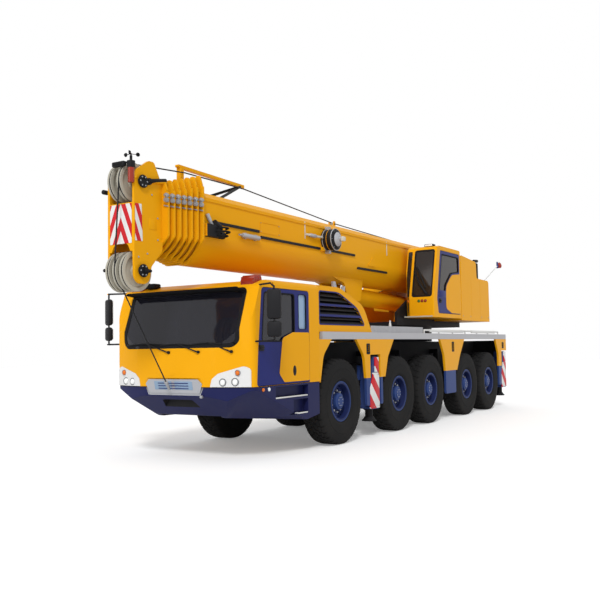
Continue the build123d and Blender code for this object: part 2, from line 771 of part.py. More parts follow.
# ---------------------------------------------------------------- superstructure frame
CHEEK_SIDE = (
    (-1250, UPPER_FLOOR_Z + 60),
    (-1250, 2450, 80),
    (-2200, 2900, 200),
    (-4150, 3350, 200),
    (-4350, 3620, 120),
    (-4850, 3620, 120),
    (-5050, 3350, 120),
    (-5200, UPPER_FLOOR_Z + 60),
)
CHEEK_WINDOW = ((-3900, 2560, 90), (-3900, 3060, 90), (-2700, 2760, 90), (-2200, 2560, 60))
FOOT_BRACKET = (
    (CYL_FOOT_X - 350, UPPER_FLOOR_Z + 70),
    (CYL_FOOT_X - 120, CYL_FOOT_Z + 90, 90),
    (CYL_FOOT_X + 120, CYL_FOOT_Z + 90, 90),
    (CYL_FOOT_X + 350, UPPER_FLOOR_Z + 70),
)
FOOT_BRACKET_Y = (230.0, 290.0)
with BuildPart() as turntable:
    with Locations((SLEW_X, 0, (RING_SPLIT_Z + UPPER_FLOOR_Z) / 2)):
        Cylinder(RING_RADIUS, UPPER_FLOOR_Z - RING_SPLIT_Z)
    outer_y = CHEEK_Y + CHEEK_PLATE
    span(-5200, -1250, -outer_y, outer_y, UPPER_FLOOR_Z, UPPER_FLOOR_Z + 80)
    for _, side in SIDES:
        outline(side_plane(side * outer_y), CHEEK_SIDE, side * CHEEK_PLATE)
        outline(
            side_plane(side * FOOT_BRACKET_Y[1]), FOOT_BRACKET,
            side * (FOOT_BRACKET_Y[1] - FOOT_BRACKET_Y[0]),
        )
        outline(
            side_plane(side * (outer_y + 1)), CHEEK_WINDOW, side * (CHEEK_PLATE + 2),
            mode=Mode.SUBTRACT,
        )
    rod(
        (CYL_FOOT_X, -FOOT_BRACKET_Y[1], CYL_FOOT_Z), (CYL_FOOT_X, FOOT_BRACKET_Y[1], CYL_FOOT_Z),
        CYL_FOOT_PIN,
    )
    rod(
        (BOOM_PIVOT_X, -outer_y, BOOM_PIVOT_Z), (BOOM_PIVOT_X, outer_y, BOOM_PIVOT_Z),
        PIVOT_PIN_RADIUS,
    )
    # hoist drum low at the rear between the cheeks
    rod((DRUM_X, -CHEEK_Y - 10, DRUM_Z), (DRUM_X, CHEEK_Y + 10, DRUM_Z), DRUM_RADIUS)
    rod((DRUM_X, -CHEEK_Y - 10, DRUM_Z), (DRUM_X, -CHEEK_Y + 30, DRUM_Z), DRUM_FLANGE_RADIUS)
    rod((DRUM_X, CHEEK_Y - 30, DRUM_Z), (DRUM_X, CHEEK_Y + 10, DRUM_Z), DRUM_FLANGE_RADIUS)
save(turntable.part, "turntable_frame")

# ---------------------------------------------------------------- rear housing
HOUSING_OUTER_Y = 1340.0
HOUSING_INNER_Y = 615.0
HOUSING_SIDE = (
    (-3420, 2290),
    (-5480, 2290, 60),
    (-5480, 3370, 90),
    (-4560, 3385, 60),
    (-4530, 3800, 110),
    (-3500, 3880, 60),
    (-3420, 3870),
)
HOUSING_SEAMS = (-4120.0, -4780.0)
MUFFLER = (-4860.0, 1020.0, 130.0, 3810.0)
with BuildPart() as housing:
    for _, side in SIDES:
        outline(
            side_plane(side * HOUSING_OUTER_Y), HOUSING_SIDE,
            side * (HOUSING_OUTER_Y - HOUSING_INNER_Y),
        )
        for seam_x in HOUSING_SEAMS:
            span(
                seam_x, seam_x + 12, side * HOUSING_OUTER_Y, side * (HOUSING_OUTER_Y - 8),
                2320, 3340, mode=Mode.SUBTRACT,
            )
    span(-5480, -5260, -HOUSING_OUTER_Y, HOUSING_OUTER_Y, 2290, 2850)
    # exhaust muffler standing in the step behind the left roof
    muffler_x, muffler_y, muffler_radius, muffler_top = MUFFLER
    rod((muffler_x, muffler_y, 3360), (muffler_x, muffler_y, muffler_top), muffler_radius)
    rod((muffler_x, muffler_y, 3360), (muffler_x - 60, muffler_y, muffler_top + 70), 45)
save(housing.part, "upper_housing")

# ---------------------------------------------------------------- crane operator's cab
OPERATOR_REAR_X = -3390.0
OPERATOR_WALL = 40.0
OPERATOR_Y = (615.0, 1340.0)
OPERATOR_SIDE = (
    (OPERATOR_REAR_X, 2330),
    (-1650, 2330, 40),
    (-1650, 2760, 120),
    (-1950, 3930, 70),
    (-2060, 3975, 40),
    (OPERATOR_REAR_X, 3975, 60),
)
OPERATOR_PLAN = (
    (OPERATOR_REAR_X, OPERATOR_Y[0], 30),
    (-1800, OPERATOR_Y[0], 60),
    (-1640, 760, 60),
    (-1640, OPERATOR_Y[1], 50),
    (OPERATOR_REAR_X, OPERATOR_Y[1], 10),
)
OPERATOR_DOOR = (
    (-3330, 2420, 40),
    (-1930, 2420, 60),
    (-1860, 2760, 100),
    (-2110, 3880, 60),
    (-3330, 3880, 50),
)
OPERATOR_DOOR_WINDOW = (
    (-2330, 2800, 60),
    (-1960, 2800, 60),
    (-2190, 3800, 50),
    (-3270, 3800, 50),
    (-3270, 3440, 40),
    (-2780, 3380, 300),
    (-2420, 3080, 200),
)
DOOR_ARC_SKIN = (
    (-3320, 2440, 20),
    (-2760, 2440, 90),
    (-2400, 2540, 120),
    (-2420, 3060, 260),
    (-2800, 3350, 350),
    (-3320, 3400, 20),
)
OPERATOR_SCREEN = ((800, 2790, 60), (1290, 2790, 60), (1290, 3890, 60), (800, 3890, 60))
CORNER_WINDOW = ((640, 2800, 20), (742, 2800, 20), (742, 3860, 20), (640, 3860, 20))


def operator_block(shrink):
    """Operator's cab volume drawn in by an amount."""
    with BuildPart() as block:
        side_view = face_of(side_plane(OPERATOR_Y[1] - shrink), OPERATOR_SIDE, -shrink)
        extrude(side_view, amount=OPERATOR_Y[1] - OPERATOR_Y[0] - 2 * shrink)
        plan = face_of(Plane.XY.offset(2300), OPERATOR_PLAN, -shrink)
        extrude(plan, amount=1800, mode=Mode.INTERSECT)
    return block.part


operator_outside = operator_block(0)
operator_inside = operator_block(OPERATOR_WALL)
glazing_outside = operator_block(6)
glazing_inside = operator_block(24)
with BuildPart() as operator_cab:
    add(operator_outside)
    add(operator_inside, mode=Mode.SUBTRACT)
    outline(side_plane(OPERATOR_Y[1] + 1), OPERATOR_DOOR, OPERATOR_WALL + 2, mode=Mode.SUBTRACT)
    outline(cross_plane(-2300), OPERATOR_SCREEN, 700, mode=Mode.SUBTRACT)
    outline(cross_plane(-2300), CORNER_WINDOW, 700, mode=Mode.SUBTRACT)
    # step under the front
    span(-1900, -1560, OPERATOR_Y[0] + 40, OPERATOR_Y[1], 2330, 2360)
save(operator_cab.part, "crane_cab")

with BuildPart() as operator_glass:
    add(glazing_outside)
    add(glazing_inside, mode=Mode.SUBTRACT)
    with BuildSketch(cross_plane(-2300)) as panes:
        add(face_of(Plane.XY, OPERATOR_SCREEN))
        add(face_of(Plane.XY, CORNER_WINDOW))
    extrude(panes.sketch, amount=700, mode=Mode.INTERSECT)
save(operator_glass.part, "crane_cab_glass")

with BuildPart() as operator_door:
    outline(side_plane(OPERATOR_Y[1]), OPERATOR_DOOR, OPERATOR_WALL, grow=-DOOR_GAP)
    outline(side_plane(OPERATOR_Y[1] + 5), DOOR_ARC_SKIN, 12)
    outline(
        side_plane(OPERATOR_Y[1] + 6), OPERATOR_DOOR_WINDOW, OPERATOR_WALL + 8,
        mode=Mode.SUBTRACT,
    )
save(operator_door.part, "crane_cab_door")


# ---------------------------------------------------------------- boom
def boom_section_outline(inset):
    """Boom cross-section in (y, z): flat top, straight sides, round belly."""
    half = BOOM_HALF_WIDTH - inset
    top = BOOM_TOP_Z - inset
    bottom = BOOM_BOTTOM_Z + inset
    belly = bottom + half
    with BuildSketch(cross_plane(0)) as section:
        with BuildLine():
            Line((half, belly), (half, top - 90))
            Line((half, top - 90), (half - 90, top))
            Line((half - 90, top), (-half + 90, top))
            Line((-half + 90, top), (-half, top - 90))
            Line((-half, top - 90), (-half, belly))
            ThreePointArc((-half, belly), (0, bottom), (half, belly))
        make_face()
    return section.sketch


def boom_tube(rear_x, front_x, inset):
    """Hollow boom section between two stations."""
    for skin, mode in ((inset, Mode.ADD), (inset + BOOM_WALL, Mode.SUBTRACT)):
        profile = boom_section_outline(skin).moved(Location((rear_x, 0, 0)))
        extrude(profile, amount=front_x - rear_x, mode=mode)


def collar(front_x, inset):
    """Stiffening collar: plate round the mouth, chamfered belly, pointed ears, side pins."""
    half = BOOM_HALF_WIDTH - inset + COLLAR_RIM
    top = BOOM_TOP_Z - inset + COLLAR_RIM + 30
    bottom = BOOM_BOTTOM_Z - 5 + inset * 0.5
    rear_plane = cross_plane(front_x - COLLAR_PLATE)
    outline(
        rear_plane,
        (
            (-half, 3360, 60),
            (-half + 330, bottom, 60),
            (half - 330, bottom, 60),
            (half, 3360, 60),
            (half, top - 60, 20),
            (half - 60, top),
            (-half + 60, top),
            (-half, top - 60, 20),
        ),
        COLLAR_PLATE,
    )
    for _, side in SIDES:
        outline(
            rear_plane,
            (
                (side * (half - 200), top - 10),
                (side * (half - 130), top + 120, 25),
                (side * (half - 70), top + 120, 25),
                (side * (half - 20), top - 30),
            ),
            COLLAR_PLATE,
        )
        rod(
            (front_x - 10, side * (half - 20), 3900), (front_x + 45, side * (half - 20), 3900), 32
        )
        rod(
            (front_x - 10, side * (half - 20), 3980), (front_x + 30, side * (half - 20), 3980), 22
        )


LUFF_LUG = ((1500, 3200), (600, 3015, 120), (430, 2660, 90), (-120, 2660, 90), (-260, 3200))
LUFF_LUG_Y = (240.0, 300.0)
# conduit covers along each side: rear x, front x, z, inner y, outer y
SIDE_BARS = (
    (3900.0, 5100.0, 3675.0, 460.0, 492.0),
    (450.0, 3850.0, 3585.0, 460.0, 492.0),
    (-1100.0, 300.0, 3335.0, 430.0, 474.0),
)
REEL_X = 1620.0
REEL_Z = 3770.0
GUIDE_FRAME_TOP = 4600.0
with BuildPart() as boom_base:
    boom_tube(BOOM_REAR_X, BOOM_COLLAR_X, 0)
    collar(BOOM_COLLAR_X, 0)
    for _, side in SIDES:
        outline(
            side_plane(side * LUFF_LUG_Y[1]), LUFF_LUG, side * (LUFF_LUG_Y[1] - LUFF_LUG_Y[0])
        )
        # stiffening rail along the top corner, with a gusset near the lug
        span(
            BOOM_REAR_X + 100, BOOM_COLLAR_X - 60, side * 440, side * 484, 3985, 4015,
        )
        outline(
            side_plane(side * 480), ((-500, 3420), (-150, 3420), (-380, 3620)), side * 20,
        )
        for rear_x, front_x, bar_z, inner_y, bar_y in SIDE_BARS:
            span(rear_x, front_x, side * inner_y, side * bar_y, bar_z - 22, bar_z + 22)
    with Locations((BOOM_PIVOT_X, 0, BOOM_PIVOT_Z)):
        Cylinder(155, 2 * BOOM_HALF_WIDTH + 120, rotation=(90, 0, 0))
    # cable reel on the left side: drum, cone and spindle
    rod((REEL_X, 460, REEL_Z), (REEL_X, 700, REEL_Z), 205)
    taper((REEL_X, 700, REEL_Z), (REEL_X, 780, REEL_Z), 190, 70)
    rod((REEL_X, 700, REEL_Z), (REEL_X, 850, REEL_Z), 45)
    span(REEL_X - 40, REEL_X + 40, 460, 560, REEL_Z - 260, REEL_Z + 260)
    # working lamps and hose box behind the collar on the left
    span(5060, 5400, 460, 560, 3430, 3620)
    rod((4960, 520, 3480), (5060, 520, 3480), 60)
    rod((5040, 520, 3590), (5180, 520, 3660), 55)
    # rope guide frame over the collars: post, long bar and two crossed struts
    span(5330, 5400, -45, 45, BOOM_TOP_Z - 5, 4560)
    outline(
        side_plane(32),
        ((3700, 4505), (5290, 4545), (5450, 4560, 20), (5450, GUIDE_FRAME_TOP, 15), (3700, 4560)),
        64,
    )
    for _, side in SIDES:
        rod((4780, side * 330, BOOM_TOP_Z - 5), (3800, side * 10, 4520), 24)
    core = boom_section_outline(BOOM_WALL).moved(Location((BOOM_REAR_X, 0, 0)))
    extrude(core, amount=BOOM_COLLAR_X - BOOM_REAR_X, mode=Mode.SUBTRACT)
    rod(
        (BOOM_PIVOT_X, -700, BOOM_PIVOT_Z), (BOOM_PIVOT_X, 700, BOOM_PIVOT_Z),
        PIVOT_PIN_RADIUS + RUNNING_GAP, mode=Mode.SUBTRACT,
    )
save(boom_base.part, "boom_base")

HEAD_MOUTH_X = BOOM_COLLAR_X + SECTION_COUNT * COLLAR_PITCH
HEAD_PLATE = (
    (HEAD_MOUTH_X - 5, 3150, 60),
    (SHEAVE_X - 200, 2900, 60),
    (SHEAVE_X - 150, 2640, 140),
    (SHEAVE_X + 140, 2640, 140),
    (SHEAVE_X + 150, 3000, 60),
    (SHEAVE_X + 150, 4250, 90),
    (SHEAVE_X + 60, 4300, 80),
    (SHEAVE_X - 150, 4440, 60),
    (SHEAVE_X - 260, 4440, 60),
    (HEAD_MOUTH_X - 5, 4120),
)
HEAD_FACE = (
    (-HEAD_PLATE_Y[0] - 5, 3100),
    (-HEAD_PLATE_Y[0] + 40, 3100, 20),
    (-120, 3230, 120),
    (120, 3230, 120),
    (HEAD_PLATE_Y[0] - 40, 3100, 20),
    (HEAD_PLATE_Y[0] + 5, 3100),
    (HEAD_PLATE_Y[0] + 5, 3800),
    (-HEAD_PLATE_Y[0] - 5, 3800),
)


def section_tube(index):
    """One inner section with its collar."""
    inset = index * SECTION_STEP
    mouth_x = BOOM_COLLAR_X + index * COLLAR_PITCH
    rear_x = BOOM_PIVOT_X + 250 + index * 60
    with BuildPart() as tube:
        boom_tube(rear_x, mouth_x, inset)
        collar(mouth_x, inset)
        if index < SECTION_COUNT:
            core = boom_section_outline(inset + BOOM_WALL).moved(Location((rear_x, 0, 0)))
            extrude(core, amount=mouth_x - rear_x, mode=Mode.SUBTRACT)
    return tube.part


for index in range(1, SECTION_COUNT):
    save(section_tube(index), f"boom_section_{index}")

last_tube = section_tube(SECTION_COUNT)
with BuildPart() as head:
    add(last_tube)
    for _, side in SIDES:
        outline(
            side_plane(side * HEAD_PLATE_Y[1]), HEAD_PLATE,
            side * (HEAD_PLATE_Y[1] - HEAD_PLATE_Y[0]),
        )
        # shaft bosses on the outside of each head plate
        for centre_z, boss in ((UPPER_SHEAVE_Z, 75), (LOWER_SHEAVE_Z, 75)):
            rod(
                (SHEAVE_X, side * (HEAD_PLATE_Y[1] - 5), centre_z),
                (SHEAVE_X, side * (HEAD_PLATE_Y[1] + 30), centre_z),
                boss,
            )
        # locking bar along the head from the upper shaft
        rod(
            (SHEAVE_X - 100, side * 285, UPPER_SHEAVE_Z + 20),
            (HEAD_MOUTH_X - 10, side * 285, UPPER_SHEAVE_Z + 60),
            26,
        )
        rod(
            (SHEAVE_X - 130, side * 255, UPPER_SHEAVE_Z + 20),
            (SHEAVE_X - 130, side * 300, UPPER_SHEAVE_Z + 20),
            50,
        )
    span(HEAD_MOUTH_X - 5, HEAD_MOUTH_X + 60, -260, 260, 3180, 3960)
    outline(cross_plane(SHEAVE_X + 120), HEAD_FACE, 30)
    # obstruction lamp ahead of the left head plate, with the wind gauge's mast above it
    rod((GAUGE_X, 240, 4070), (GAUGE_X, 240, 4290), 46)
    rod((SHEAVE_X + 100, 240, 4150), (GAUGE_X, 240, 4150), 30)
    rod((GAUGE_X, 240, 4280), (GAUGE_X, 240, 4440), 14)
save(head.part, "boom_section_6")

# ---------------------------------------------------------------- head sheaves
UPPER_SHEAVES = (-90.0, 90.0)
LOWER_SHEAVES = (-135.0, 0.0, 135.0)
SHEAVE_PROFILE = (
    (-SHEAVE_WIDTH / 2, 235.0),
    (-SHEAVE_WIDTH / 2, SHEAVE_RADIUS),
    (-22.0, SHEAVE_RADIUS),
    (0.0, SHEAVE_RADIUS - 36),
    (22.0, SHEAVE_RADIUS),
    (SHEAVE_WIDTH / 2, SHEAVE_RADIUS),
    (SHEAVE_WIDTH / 2, 235.0),
    (12.0, 215.0),
    (12.0, 110.0),
    (SHEAVE_WIDTH / 2, 100.0),
    (SHEAVE_WIDTH / 2, 50.0),
    (-SHEAVE_WIDTH / 2, 50.0),
    (-SHEAVE_WIDTH / 2, 100.0),
    (-12.0, 110.0),
    (-12.0, 215.0),
)
with BuildPart() as sheaves:
    for centre_z, rows in ((UPPER_SHEAVE_Z, UPPER_SHEAVES), (LOWER_SHEAVE_Z, LOWER_SHEAVES)):
        for row_y in rows:
            wheel = Plane(origin=(SHEAVE_X, row_y, centre_z), x_dir=(0, 1, 0), z_dir=(1, 0, 0))
            revolve(
                face_of(wheel, SHEAVE_PROFILE),
                axis=Axis((SHEAVE_X, row_y, centre_z), (0, 1, 0)),
            )
        rod((SHEAVE_X, -219, centre_z), (SHEAVE_X, 219, centre_z), 60)
save(sheaves.part, "head_sheaves")

# ---------------------------------------------------------------- luffing cylinder
foot = Vector(CYL_FOOT_X, 0, CYL_FOOT_Z)
eye = Vector(CYL_EYE_X, 0, CYL_EYE_Z)
along = (eye - foot).normalized()
with BuildPart() as barrel:
    rod(tuple(foot + along * 60), tuple(eye - along * 330), BARREL_RADIUS)
    rod(tuple(eye - along * 430), tuple(eye - along * 330), BARREL_RADIUS + 16)
    rod((CYL_FOOT_X, -220, CYL_FOOT_Z), (CYL_FOOT_X, 220, CYL_FOOT_Z), 150)
    rod(tuple(foot + along * 500), tuple(eye - along * 329), ROD_RADIUS + 2, mode=Mode.SUBTRACT)
    rod(
        (CYL_FOOT_X, -400, CYL_FOOT_Z), (CYL_FOOT_X, 400, CYL_FOOT_Z),
        CYL_FOOT_PIN + RUNNING_GAP, mode=Mode.SUBTRACT,
    )
save(barrel.part, "luffing_barrel")

with BuildPart() as ram:
    rod(tuple(foot + along * 520), tuple(eye - along * 60), ROD_RADIUS)
    rod((CYL_EYE_X, -180, CYL_EYE_Z), (CYL_EYE_X, 180, CYL_EYE_Z), 140)
    rod(
        (CYL_EYE_X, -200, CYL_EYE_Z), (CYL_EYE_X, 200, CYL_EYE_Z), CYL_EYE_BORE,
        mode=Mode.SUBTRACT,
    )
save(ram.part, "luffing_rod")
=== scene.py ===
"""Dressed model of a five-axle mobile crane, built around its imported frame.

Metres, +X forward, +Y to the crane's left, +Z up.
"""
from __future__ import annotations

import logging
import math
from dataclasses import dataclass
from enum import Enum
from typing import Callable, Iterable, Sequence

import bmesh
import bpy
from mathutils import Matrix, Vector
from mathutils.bvhtree import BVHTree

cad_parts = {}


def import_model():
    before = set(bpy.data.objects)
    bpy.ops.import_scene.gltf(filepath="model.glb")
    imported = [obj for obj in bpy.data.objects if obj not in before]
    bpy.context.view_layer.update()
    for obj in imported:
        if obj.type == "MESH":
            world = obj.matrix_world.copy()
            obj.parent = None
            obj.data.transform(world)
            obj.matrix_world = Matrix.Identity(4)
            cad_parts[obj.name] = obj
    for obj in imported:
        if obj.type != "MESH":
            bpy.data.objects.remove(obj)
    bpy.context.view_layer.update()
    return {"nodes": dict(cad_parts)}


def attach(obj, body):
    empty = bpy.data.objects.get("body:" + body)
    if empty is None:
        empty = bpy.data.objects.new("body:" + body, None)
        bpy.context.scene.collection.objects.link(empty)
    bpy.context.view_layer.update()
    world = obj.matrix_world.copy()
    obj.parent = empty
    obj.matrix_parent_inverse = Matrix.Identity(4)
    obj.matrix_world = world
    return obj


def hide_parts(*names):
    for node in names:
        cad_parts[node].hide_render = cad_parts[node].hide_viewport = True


log = logging.getLogger("mobile_crane")
Point = tuple[float, float, float]
Pair = tuple[float, float]
Spot = Sequence[float]
Colour = tuple[float, float, float]
Mesh = bmesh.types.BMesh
Rows = tuple[tuple[float, ...], ...]
Socket = bpy.types.NodeSocket
Outputs = bpy.types.NodeOutputs
Feeds = dict[str | int, object]
SIDES: tuple[tuple[str, float], ...] = (("left", 1.0), ("right", -1.0))


# ---------------- shader tools
class Effect(Enum):
    """Shader effects that several finishes share."""

    ROAD_FILM = "road_film"
    FINE_GRAIN = "fine_grain"
    SLANT_BANDS = "slant_bands"
    PLAIN_WEAVE = "plain_weave"


class Axis(Enum):
    """Object axis as an index into a coordinate."""

    X = 0
    Y = 1


class Graph:
    """Lays out the nodes of one material, world or effect."""

    def __init__(self, tree: bpy.types.NodeTree) -> None:
        """Work on one node tree."""
        self.tree = tree

    def feed(self, node: bpy.types.Node, feeds: Feeds) -> bpy.types.Node:
        """Set or link a node's inputs.

        Args:
            node: Node to feed.
            feeds: Name or index of an input to a number, a colour or another node's socket.

        Returns:
            The same node.
        """
        for key, value in feeds.items():
            if isinstance(value, Socket):
                self.tree.links.new(value, node.inputs[key])
            else:
                node.inputs[key].default_value = value
        return node

    def add(self, kind: str, feeds: Feeds | None = None, **options: object) -> bpy.types.Node:
        """Add a shader node.

        Args:
            kind: Its type without the leading ShaderNode.
            feeds: What goes into its inputs.
            options: Its other settings by name.

        Returns:
            The new node.
        """
        node = self.tree.nodes.new(f"ShaderNode{kind}")
        for name, value in options.items():
            setattr(node, name, value)
        return self.feed(node, feeds or {})

    def math(self, operation: str, *terms: object, clamp: bool = False) -> Socket:
        """Return the result of a sum over numbers or sockets."""
        node = self.add("Math", dict(enumerate(terms)), operation=operation, use_clamp=clamp)
        return node.outputs[0]

    def mix(self, share: Socket, first: object, second: object) -> Socket:
        """Return the blend of two colours by a share of the second."""
        node = self.add("Mix", {"Factor": share, 6: first, 7: second}, data_type="RGBA")
        return node.outputs[2]

    def place(self) -> Socket:
        """Return the object coordinates."""
        return self.add("TexCoord").outputs["Object"]

    def split(self, place: Socket) -> Outputs:
        """Return the three parts of a coordinate."""
        return self.add("SeparateXYZ", {0: place}).outputs

    def effect(self, effect: Effect, feeds: Feeds) -> Outputs:
        """Return the outputs of a shared effect."""
        return self.add("Group", feeds, node_tree=EFFECTS.get(effect)).outputs


COLOUR, VALUE = "NodeSocketColor", "NodeSocketFloat"


class EffectShop:
    """Builds each shared effect once and hands it out."""

    def __init__(self) -> None:
        """Start with no groups built."""
        self._built: dict[Effect, bpy.types.NodeTree] = {}

    def get(self, effect: Effect) -> bpy.types.NodeTree:
        """Return the group of an effect, building it the first time.

        Args:
            effect: Which effect.

        Returns:
            Its node group.
        """
        if effect not in self._built:
            inputs, outputs, lay_out = {
                Effect.ROAD_FILM: (
                    {"Paint": (0.8, 0.8, 0.8, 1.0), "Dust": (0.26, 0.23, 0.19, 1.0), "Gloss": 0.4,
                     "Amount": 0.1, "Low": 0.3, "High": 1.6},
                    {"Colour": COLOUR, "Roughness": VALUE}, self._road_film,
                ),
                Effect.FINE_GRAIN: (
                    {"Scale": 60.0, "Rough": 0.5}, {"Height": VALUE}, self._fine_grain
                ),
                Effect.SLANT_BANDS: (
                    {"Across": 0.0, "Up": 0.0, "Pitch": 0.2, "Lean": 1.0}, {"Mask": VALUE},
                    self._slant_bands,
                ),
                Effect.PLAIN_WEAVE: ({"Scale": 90.0}, {"Mask": VALUE}, self._plain_weave),
            }[effect]
            group = bpy.data.node_groups.new(effect.value, "ShaderNodeTree")
            for name, default in inputs.items():
                kind = COLOUR if isinstance(default, tuple) else VALUE
                socket = group.interface.new_socket(name=name, in_out="INPUT", socket_type=kind)
                socket.default_value = default
            for name, kind in outputs.items():
                group.interface.new_socket(name=name, in_out="OUTPUT", socket_type=kind)
            graph = Graph(group)
            source = group.nodes.new("NodeGroupInput").outputs
            graph.feed(group.nodes.new("NodeGroupOutput"), lay_out(graph, source))
            self._built[effect] = group
        return self._built[effect]

    @staticmethod
    def _road_film(graph: Graph, source: Outputs) -> Feeds:
        """Lay dust that gathers low down and in soft patches.

        Args:
            graph: Nodes of the group.
            source: The group's inputs.

        Returns:
            The colour and the roughness.
        """
        place = graph.place()
        height = graph.add("MapRange", {
            "Value": graph.split(place)["Z"], "From Min": source["Low"],
            "From Max": source["High"], "To Min": 1.0, "To Max": 0.12,
        })
        cloud = graph.add(
            "TexNoise", {"Vector": place, "Scale": 2.4, "Detail": 8.0, "Roughness": 0.62}
        )
        patch = graph.add("MapRange", {
            "Value": cloud.outputs["Fac"], "From Min": 0.35, "From Max": 0.75, "To Min": 0.25,
            "To Max": 1.6,
        })
        both = graph.math("MULTIPLY", height.outputs["Result"], patch.outputs["Result"])
        dust = graph.math("MULTIPLY", both, source["Amount"], clamp=True)
        return {
            "Colour": graph.mix(dust, source["Paint"], source["Dust"]),
            "Roughness": graph.math("MULTIPLY_ADD", dust, 0.8, source["Gloss"]),
        }

    @staticmethod
    def _fine_grain(graph: Graph, source: Outputs) -> Feeds:
        """Lay small relief for a bump: orange peel, cast skin or moulded grain.

        Args:
            graph: Nodes of the group.
            source: The group's inputs.

        Returns:
            The height.
        """
        skin = graph.add("TexNoise", {
            "Vector": graph.place(), "Scale": source["Scale"], "Roughness": source["Rough"],
            "Detail": 4.0,
        })
        return {"Height": skin.outputs["Fac"]}

    @staticmethod
    def _slant_bands(graph: Graph, source: Outputs) -> Feeds:
        """Lay slanting warning bands.

        Args:
            graph: Nodes of the group.
            source: The group's inputs.

        Returns:
            The mask, 1 on one colour and 0 on the other.
        """
        run = graph.math("MULTIPLY_ADD", source["Across"], source["Lean"], source["Up"])
        part = graph.math("FLOORED_MODULO", graph.math("DIVIDE", run, source["Pitch"]), 1.0)
        return {"Mask": graph.math("GREATER_THAN", part, 0.5)}

    @staticmethod
    def _plain_weave(graph: Graph, source: Outputs) -> Feeds:
        """Lay crossed threads with a slow wander.

        Args:
            graph: Nodes of the group.
            source: The group's inputs.

        Returns:
            The mask between two thread shades.
        """
        place = graph.place()
        thread: Feeds = {
            "Vector": place, "Scale": source["Scale"], "Distortion": 0.6, "Detail": 2.0
        }
        threads = [graph.add("TexWave", thread, bands_direction=way) for way in ("X", "Y")]
        cross = graph.math("MULTIPLY", *(wave.outputs["Fac"] for wave in threads))
        wander = graph.add("TexNoise", {"Vector": place, "Scale": 9.0, "Detail": 3.0})
        shade = graph.math("MULTIPLY_ADD", wander.outputs["Fac"], 0.45, cross, clamp=True)
        return {"Mask": shade}


EFFECTS = EffectShop()


# ---------------- finishes
@dataclass(frozen=True)
class Finish:
    """One surface finish and how its material is built."""

    name: str
    colour: Colour
    gloss: float = 0.4
    metallic: float = 0.0
    coat: float = 0.0
    film: float = 0.03
    grain: float = 60.0
    relief: float = 0.0006
    slot: str = "yellow_paint"
    edge: float = 0.008
    shine: float = 0.2

    def material(self) -> bpy.types.Material:
        """Return the finish's material, building it the first time.

        Returns:
            The material.
        """
        found = bpy.data.materials.get(self.name)
        if found:
            return found
        made = bpy.data.materials.new(self.name)
        made.use_nodes = True
        graph = Graph(made.node_tree)
        film = graph.effect(
            Effect.ROAD_FILM,
            {"Paint": self._paint(graph), "Gloss": self.gloss, "Amount": self.film},
        )
        normal: Feeds = {}
        if self.edge:
            corners = graph.add("Bevel", {"Radius": self.edge}, samples=4)
            normal = {"Normal": corners.outputs["Normal"]}
        if self.relief:
            grain = graph.effect(Effect.FINE_GRAIN, {"Scale": self.grain})
            skin: Feeds = {"Height": grain["Height"], "Strength": 0.6, "Distance": self.relief}
            normal = {"Normal": graph.add("Bump", {**skin, **normal}).outputs["Normal"]}
        graph.feed(made.node_tree.nodes["Principled BSDF"], {
            "Base Color": film["Colour"], "Roughness": film["Roughness"], **normal,
            **self._constants(),
        })
        return made

    def _constants(self) -> Feeds:
        """Return the shader's inputs that are the same all over the surface."""
        return {
            "Metallic": self.metallic, "Coat Weight": self.coat, "Coat Roughness": 0.12,
            "Specular IOR Level": self.shine,
        }

    def _paint(self, graph: Graph) -> object:
        """Return the colour, or a socket with it where it changes over the surface."""
        return (*self.colour, 1.0)


@dataclass(frozen=True)
class SplitFinish(Finish):
    """A second colour below a height, and a third one past a forward station."""

    second: Colour = (0.0, 0.0, 0.0)
    third: Colour = (0.0, 0.0, 0.0)
    part_z: float = 1.11
    part_x: float = 100.0

    def _paint(self, graph: Graph) -> Socket:
        """Return the colours mixed by object height and station.

        Args:
            graph: Nodes of the material.

        Returns:
            The mixed colour.
        """
        place = graph.split(graph.place())
        below = graph.math("LESS_THAN", place["Z"], self.part_z)
        past = graph.math("GREATER_THAN", place["X"], self.part_x)
        lower = graph.mix(below, (*self.colour, 1.0), (*self.second, 1.0))
        return graph.mix(past, lower, (*self.third, 1.0))


@dataclass(frozen=True)
class BandFinish(Finish):
    """Red and white warning bands that slant one way, or both ways from the middle plane."""

    colour: Colour = (0.74, 0.74, 0.73)
    relief: float = 0.0003
    slot: str = "grey_paint"
    second: Colour = (0.58, 0.012, 0.02)
    across: Axis = Axis.X
    pitch: float = 0.5
    lean: float = 1.0
    mirror: bool = False

    def _paint(self, graph: Graph) -> Socket:
        """Return white and red mixed by the bands' mask.

        Args:
            graph: Nodes of the material.

        Returns:
            The mixed colour.
        """
        place = graph.split(graph.place())
        run = place[self.across.value]
        if self.mirror:
            run = graph.math("ABSOLUTE", run)
        bands: Feeds = {"Across": run, "Up": place["Z"], "Pitch": self.pitch, "Lean": self.lean}
        mask = graph.effect(Effect.SLANT_BANDS, bands)["Mask"]
        return graph.mix(mask, (*self.colour, 1.0), (*self.second, 1.0))


@dataclass(frozen=True)
class FabricFinish(Finish):
    """Woven upholstery in two shades of thread."""

    second: Colour = (0.1, 0.1, 0.12)
    threads: float = 90.0

    def _paint(self, graph: Graph) -> Socket:
        """Return the two thread shades mixed by the weave's mask."""
        mask = graph.effect(Effect.PLAIN_WEAVE, {"Scale": self.threads})["Mask"]
        return graph.mix(mask, (*self.colour, 1.0), (*self.second, 1.0))


@dataclass(frozen=True)
class LensFinish(Finish):
    """Clean moulded lens of a lamp."""

    film: float = 0.0
    relief: float = 0.0
    slot: str = "glass"


